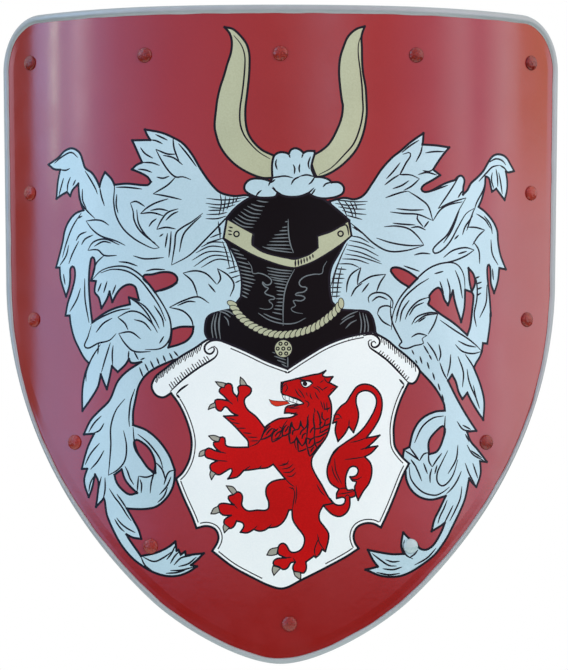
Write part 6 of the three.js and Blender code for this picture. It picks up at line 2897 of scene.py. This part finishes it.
@dataclass
class Studio:
    """The pale floor, the white surround with its soft windows, and the lamps."""

    floor_radius: float = 1.05
    floor_height: float = -0.72
    floor_tone: float = 0.82
    floor_mottle: float = 0.01
    floor_grain: float = 3.0
    floor_roughness: float = 0.8
    floor_glow: float = 0.3
    floor_sides: int = 96
    ambient: float = 0.62
    full: float = 5.0
    reach: float = 118.0
    raised: tuple[float, float] = (3.5, 6.0)
    sunk: tuple[float, float] = (-7.4, -6.0)
    dark: Colour = (0.008, 0.004, 0.004)
    upper: tuple[Glow, ...] = (
        Glow(-118, (1.0, 1.0, 1.0)), Glow(-106, (1.6, 1.3, 1.6)), Glow(-95.6, (1.6, 1.3, 1.6)),
        Glow(-94.6, (0.3, 0.25, 0.25)), Glow(-84, (0.38, 0.34, 0.3)),
        Glow(-81.5, (1.15, 1.8, 3.1)), Glow(-75, (1.5, 2.2, 3.6)), Glow(-71.5, (3.9, 4.8, 5.0)),
        Glow(-68.5, (1.3, 1.9, 3.0)), Glow(-64, (1.4, 2.0, 3.1)), Glow(-60, (2.6, 2.9, 3.9)),
        Glow(-56.5, (2.0, 2.3, 3.1)), Glow(-53, (1.0, 1.2, 2.1)), Glow(-42, (0.8, 0.72, 1.3)),
        Glow(-25, (0.8, 0.48, 0.82)), Glow(0, (0.85, 0.3, 0.36)), Glow(9, (1.25, 0.98, 1.25)),
        Glow(16, (1.15, 0.36, 0.42)), Glow(38, (1.25, 0.62, 0.9)), Glow(50.5, (1.95, 1.6, 1.95)),
        Glow(58, (1.3, 0.75, 1.15)), Glow(70, (2.35, 2.1, 2.3)), Glow(75.5, (2.3, 1.8, 1.8)),
        Glow(78.5, (1.8, 1.1, 0.85)), Glow(94.2, (1.75, 1.0, 0.6)), Glow(95.6, (1.9, 1.5, 1.7)),
        Glow(106, (1.9, 1.5, 1.7)), Glow(118, (1.0, 1.0, 1.0)))
    lower: tuple[Glow, ...] = (
        Glow(-118, (1.0, 1.0, 1.0)), Glow(-106, (1.3, 1.1, 1.4)), Glow(-95.6, (1.3, 1.1, 1.4)),
        Glow(-94.6, (0.3, 0.22, 0.2)), Glow(-82.5, (0.35, 0.3, 0.25)),
        Glow(-79.5, (0.9, 1.4, 2.4)), Glow(-60, (1.05, 1.45, 2.5)), Glow(-42, (0.85, 0.8, 1.45)),
        Glow(-25, (0.8, 0.5, 0.88)), Glow(0, (0.85, 0.33, 0.42)), Glow(16, (1.1, 0.42, 0.55)),
        Glow(38, (1.3, 0.75, 1.05)), Glow(49.5, (2.0, 1.55, 1.85)), Glow(58, (1.75, 1.3, 1.7)),
        Glow(68, (2.3, 2.1, 2.4)), Glow(76, (2.2, 1.9, 2.1)), Glow(106, (2.1, 1.75, 1.75)),
        Glow(118, (1.0, 1.0, 1.0)))

    def build(self) -> None:
        """Builds the floor, the surround and the lamps."""
        self._floor()
        self._surround()
        self._panel("panel_left", (-2.0, -1.7, 0.9), (0.0, 0.0, -0.1), (1.6, 1.6), (0.86, 0.94, 1.0), 16.0)
        self._panel("panel_right", (2.0, -1.8, 1.0), (0.0, 0.0, -0.1), (1.6, 1.6), (1.0, 0.97, 0.93), 34.0)
        self._panel("panel_back", (0.6, 2.2, 1.6), (0.0, 0.1, -0.1), (2.4, 1.6), (1.0, 0.99, 0.97), 40.0)
        log.info("studio: floor, surround and three panels")

    def _floor(self) -> None:
        """Lays the floor, which glows a little to the camera and in the gloss."""
        bm = bmesh.new()
        bmesh.ops.create_circle(bm, cap_ends=True, segments=self.floor_sides, radius=self.floor_radius)
        bmesh.ops.translate(bm, verts=bm.verts, vec=(0, 0, self.floor_height))
        mesh = bpy.data.meshes.new("floor")
        bm.to_mesh(mesh)
        bm.free()
        floor = bpy.data.objects.new("floor", mesh)
        bpy.context.scene.collection.objects.link(floor)
        material = bpy.data.materials.new("pale_floor")
        nodes = Nodes(material)
        tone = nodes.spread(nodes.noise(self.floor_grain), self.floor_tone - self.floor_mottle,
                            self.floor_tone + self.floor_mottle)
        camera, glossy, clear = self._rays(nodes)
        seen = nodes.math("MAXIMUM", camera, nodes.math("MAXIMUM", glossy, clear))
        nodes.surface(Base_Color=tone, Roughness=self.floor_roughness, Emission_Color=(1, 1, 1, 1),
                      Emission_Strength=nodes.math("MULTIPLY", seen, self.floor_glow))
        mesh.materials.append(material)

    @staticmethod
    def _rays(nodes: Nodes) -> list[bpy.types.NodeSocket]:
        """Returns whether a ray comes from the camera, from gloss or through something clear."""
        path = nodes.add("ShaderNodeLightPath")
        return [path.outputs[f"Is {kind} Ray"] for kind in ("Camera", "Glossy", "Transmission")]

    def _surround(self) -> None:
        """Builds the surround: white to the camera, soft to matt paint, with windows in the gloss."""
        world = bpy.data.worlds.new("white_surround")
        bpy.context.scene.world = world
        nodes = Nodes(world, "Background")
        apart = nodes.add("ShaderNodeSeparateXYZ")
        nodes.feed(apart.inputs[0], nodes.add("ShaderNodeTexCoord").outputs["Generated"])
        x, y, z = apart.outputs
        turn = nodes.math("ARCTAN2", x, nodes.math("MULTIPLY", y, -1.0))
        across = nodes.spread(turn, 0.0, 1.0, math.radians(-self.reach), math.radians(self.reach))
        height = nodes.math("ARCSINE", z)
        high, low = (nodes.ramp(across, *(((glow.turn + self.reach) / (2 * self.reach),
                                          tuple(part / self.full for part in glow.light)) for glow in row))
                     for row in (self.upper, self.lower))
        raised = nodes.spread(height, 0.0, 1.0, *map(math.radians, self.raised))
        sunk = nodes.spread(height, 1.0, 0.0, *map(math.radians, self.sunk))
        seen = nodes.mix(sunk, nodes.mix(raised, low, high), self.dark)
        gloss = nodes.add("ShaderNodeBackground", Color=seen, Strength=self.full)
        white = nodes.add("ShaderNodeBackground", Color=(1, 1, 1, 1), Strength=1.0)
        nodes.surface(Color=(1, 1, 1, 1), Strength=self.ambient)
        camera, glossy, clear = self._rays(nodes)
        first = nodes.add("ShaderNodeMixShader", Fac=glossy)
        nodes.feed(first.inputs[1], nodes.shader.outputs[0])
        nodes.feed(first.inputs[2], gloss.outputs[0])
        last = nodes.add("ShaderNodeMixShader", Fac=nodes.math("MAXIMUM", camera, clear))
        nodes.feed(last.inputs[1], first.outputs[0])
        nodes.feed(last.inputs[2], white.outputs[0])
        output = next(node for node in world.node_tree.nodes if node.type == "OUTPUT_WORLD")
        nodes.feed(output.inputs["Surface"], last.outputs[0])

    @staticmethod
    def _panel(name: str, where: tuple[float, float, float], aim: tuple[float, float, float], size: Flat,
               colour: Colour, power: float) -> None:
        """Hangs a lamp.

        Args:
            name: What the lamp is called.
            where: Where it is, in metres.
            aim: The place that it faces.
            size: Its width and height.
            colour: Its colour.
            power: Its power in watts.
        """
        lamp = bpy.data.lights.new(name, "AREA")
        lamp.shape = "RECTANGLE"
        lamp.size, lamp.size_y = size
        lamp.color = colour
        lamp.energy = power
        piece = bpy.data.objects.new(name, lamp)
        piece.location = where
        piece.visible_glossy = False
        piece.rotation_euler = (Vector(aim) - Vector(where)).to_track_quat("-Z", "Y").to_euler()
        bpy.context.scene.collection.objects.link(piece)


def main() -> None:
    """Builds the scene."""
    logging.basicConfig(level=logging.INFO, format="%(name)s: %(message)s")
    bpy.context.scene.view_settings.view_transform = "Standard"
    view = Viewpoint()
    view.build()
    Studio().build()
    PaintedSheet().build()
    Rim().build()
    FaceRivets().build()
    Arms(view).build()
    elbow, grip = StrapSeat(125.0, 44.0), StrapSeat(-95.0, 28.0)
    Lining().build()
    CrossBars().build([elbow, grip])
    ArmPad().build()
    ArmStrap("elbow", elbow, 3.0, 95.0, 2).build()
    ArmStrap("grip", grip, 4.5, 54.0, 1).build()
    carriage = Carriage()
    carriage.build()
    ShoulderStrap(carriage).build()


if __name__ == "__main__":
    main()
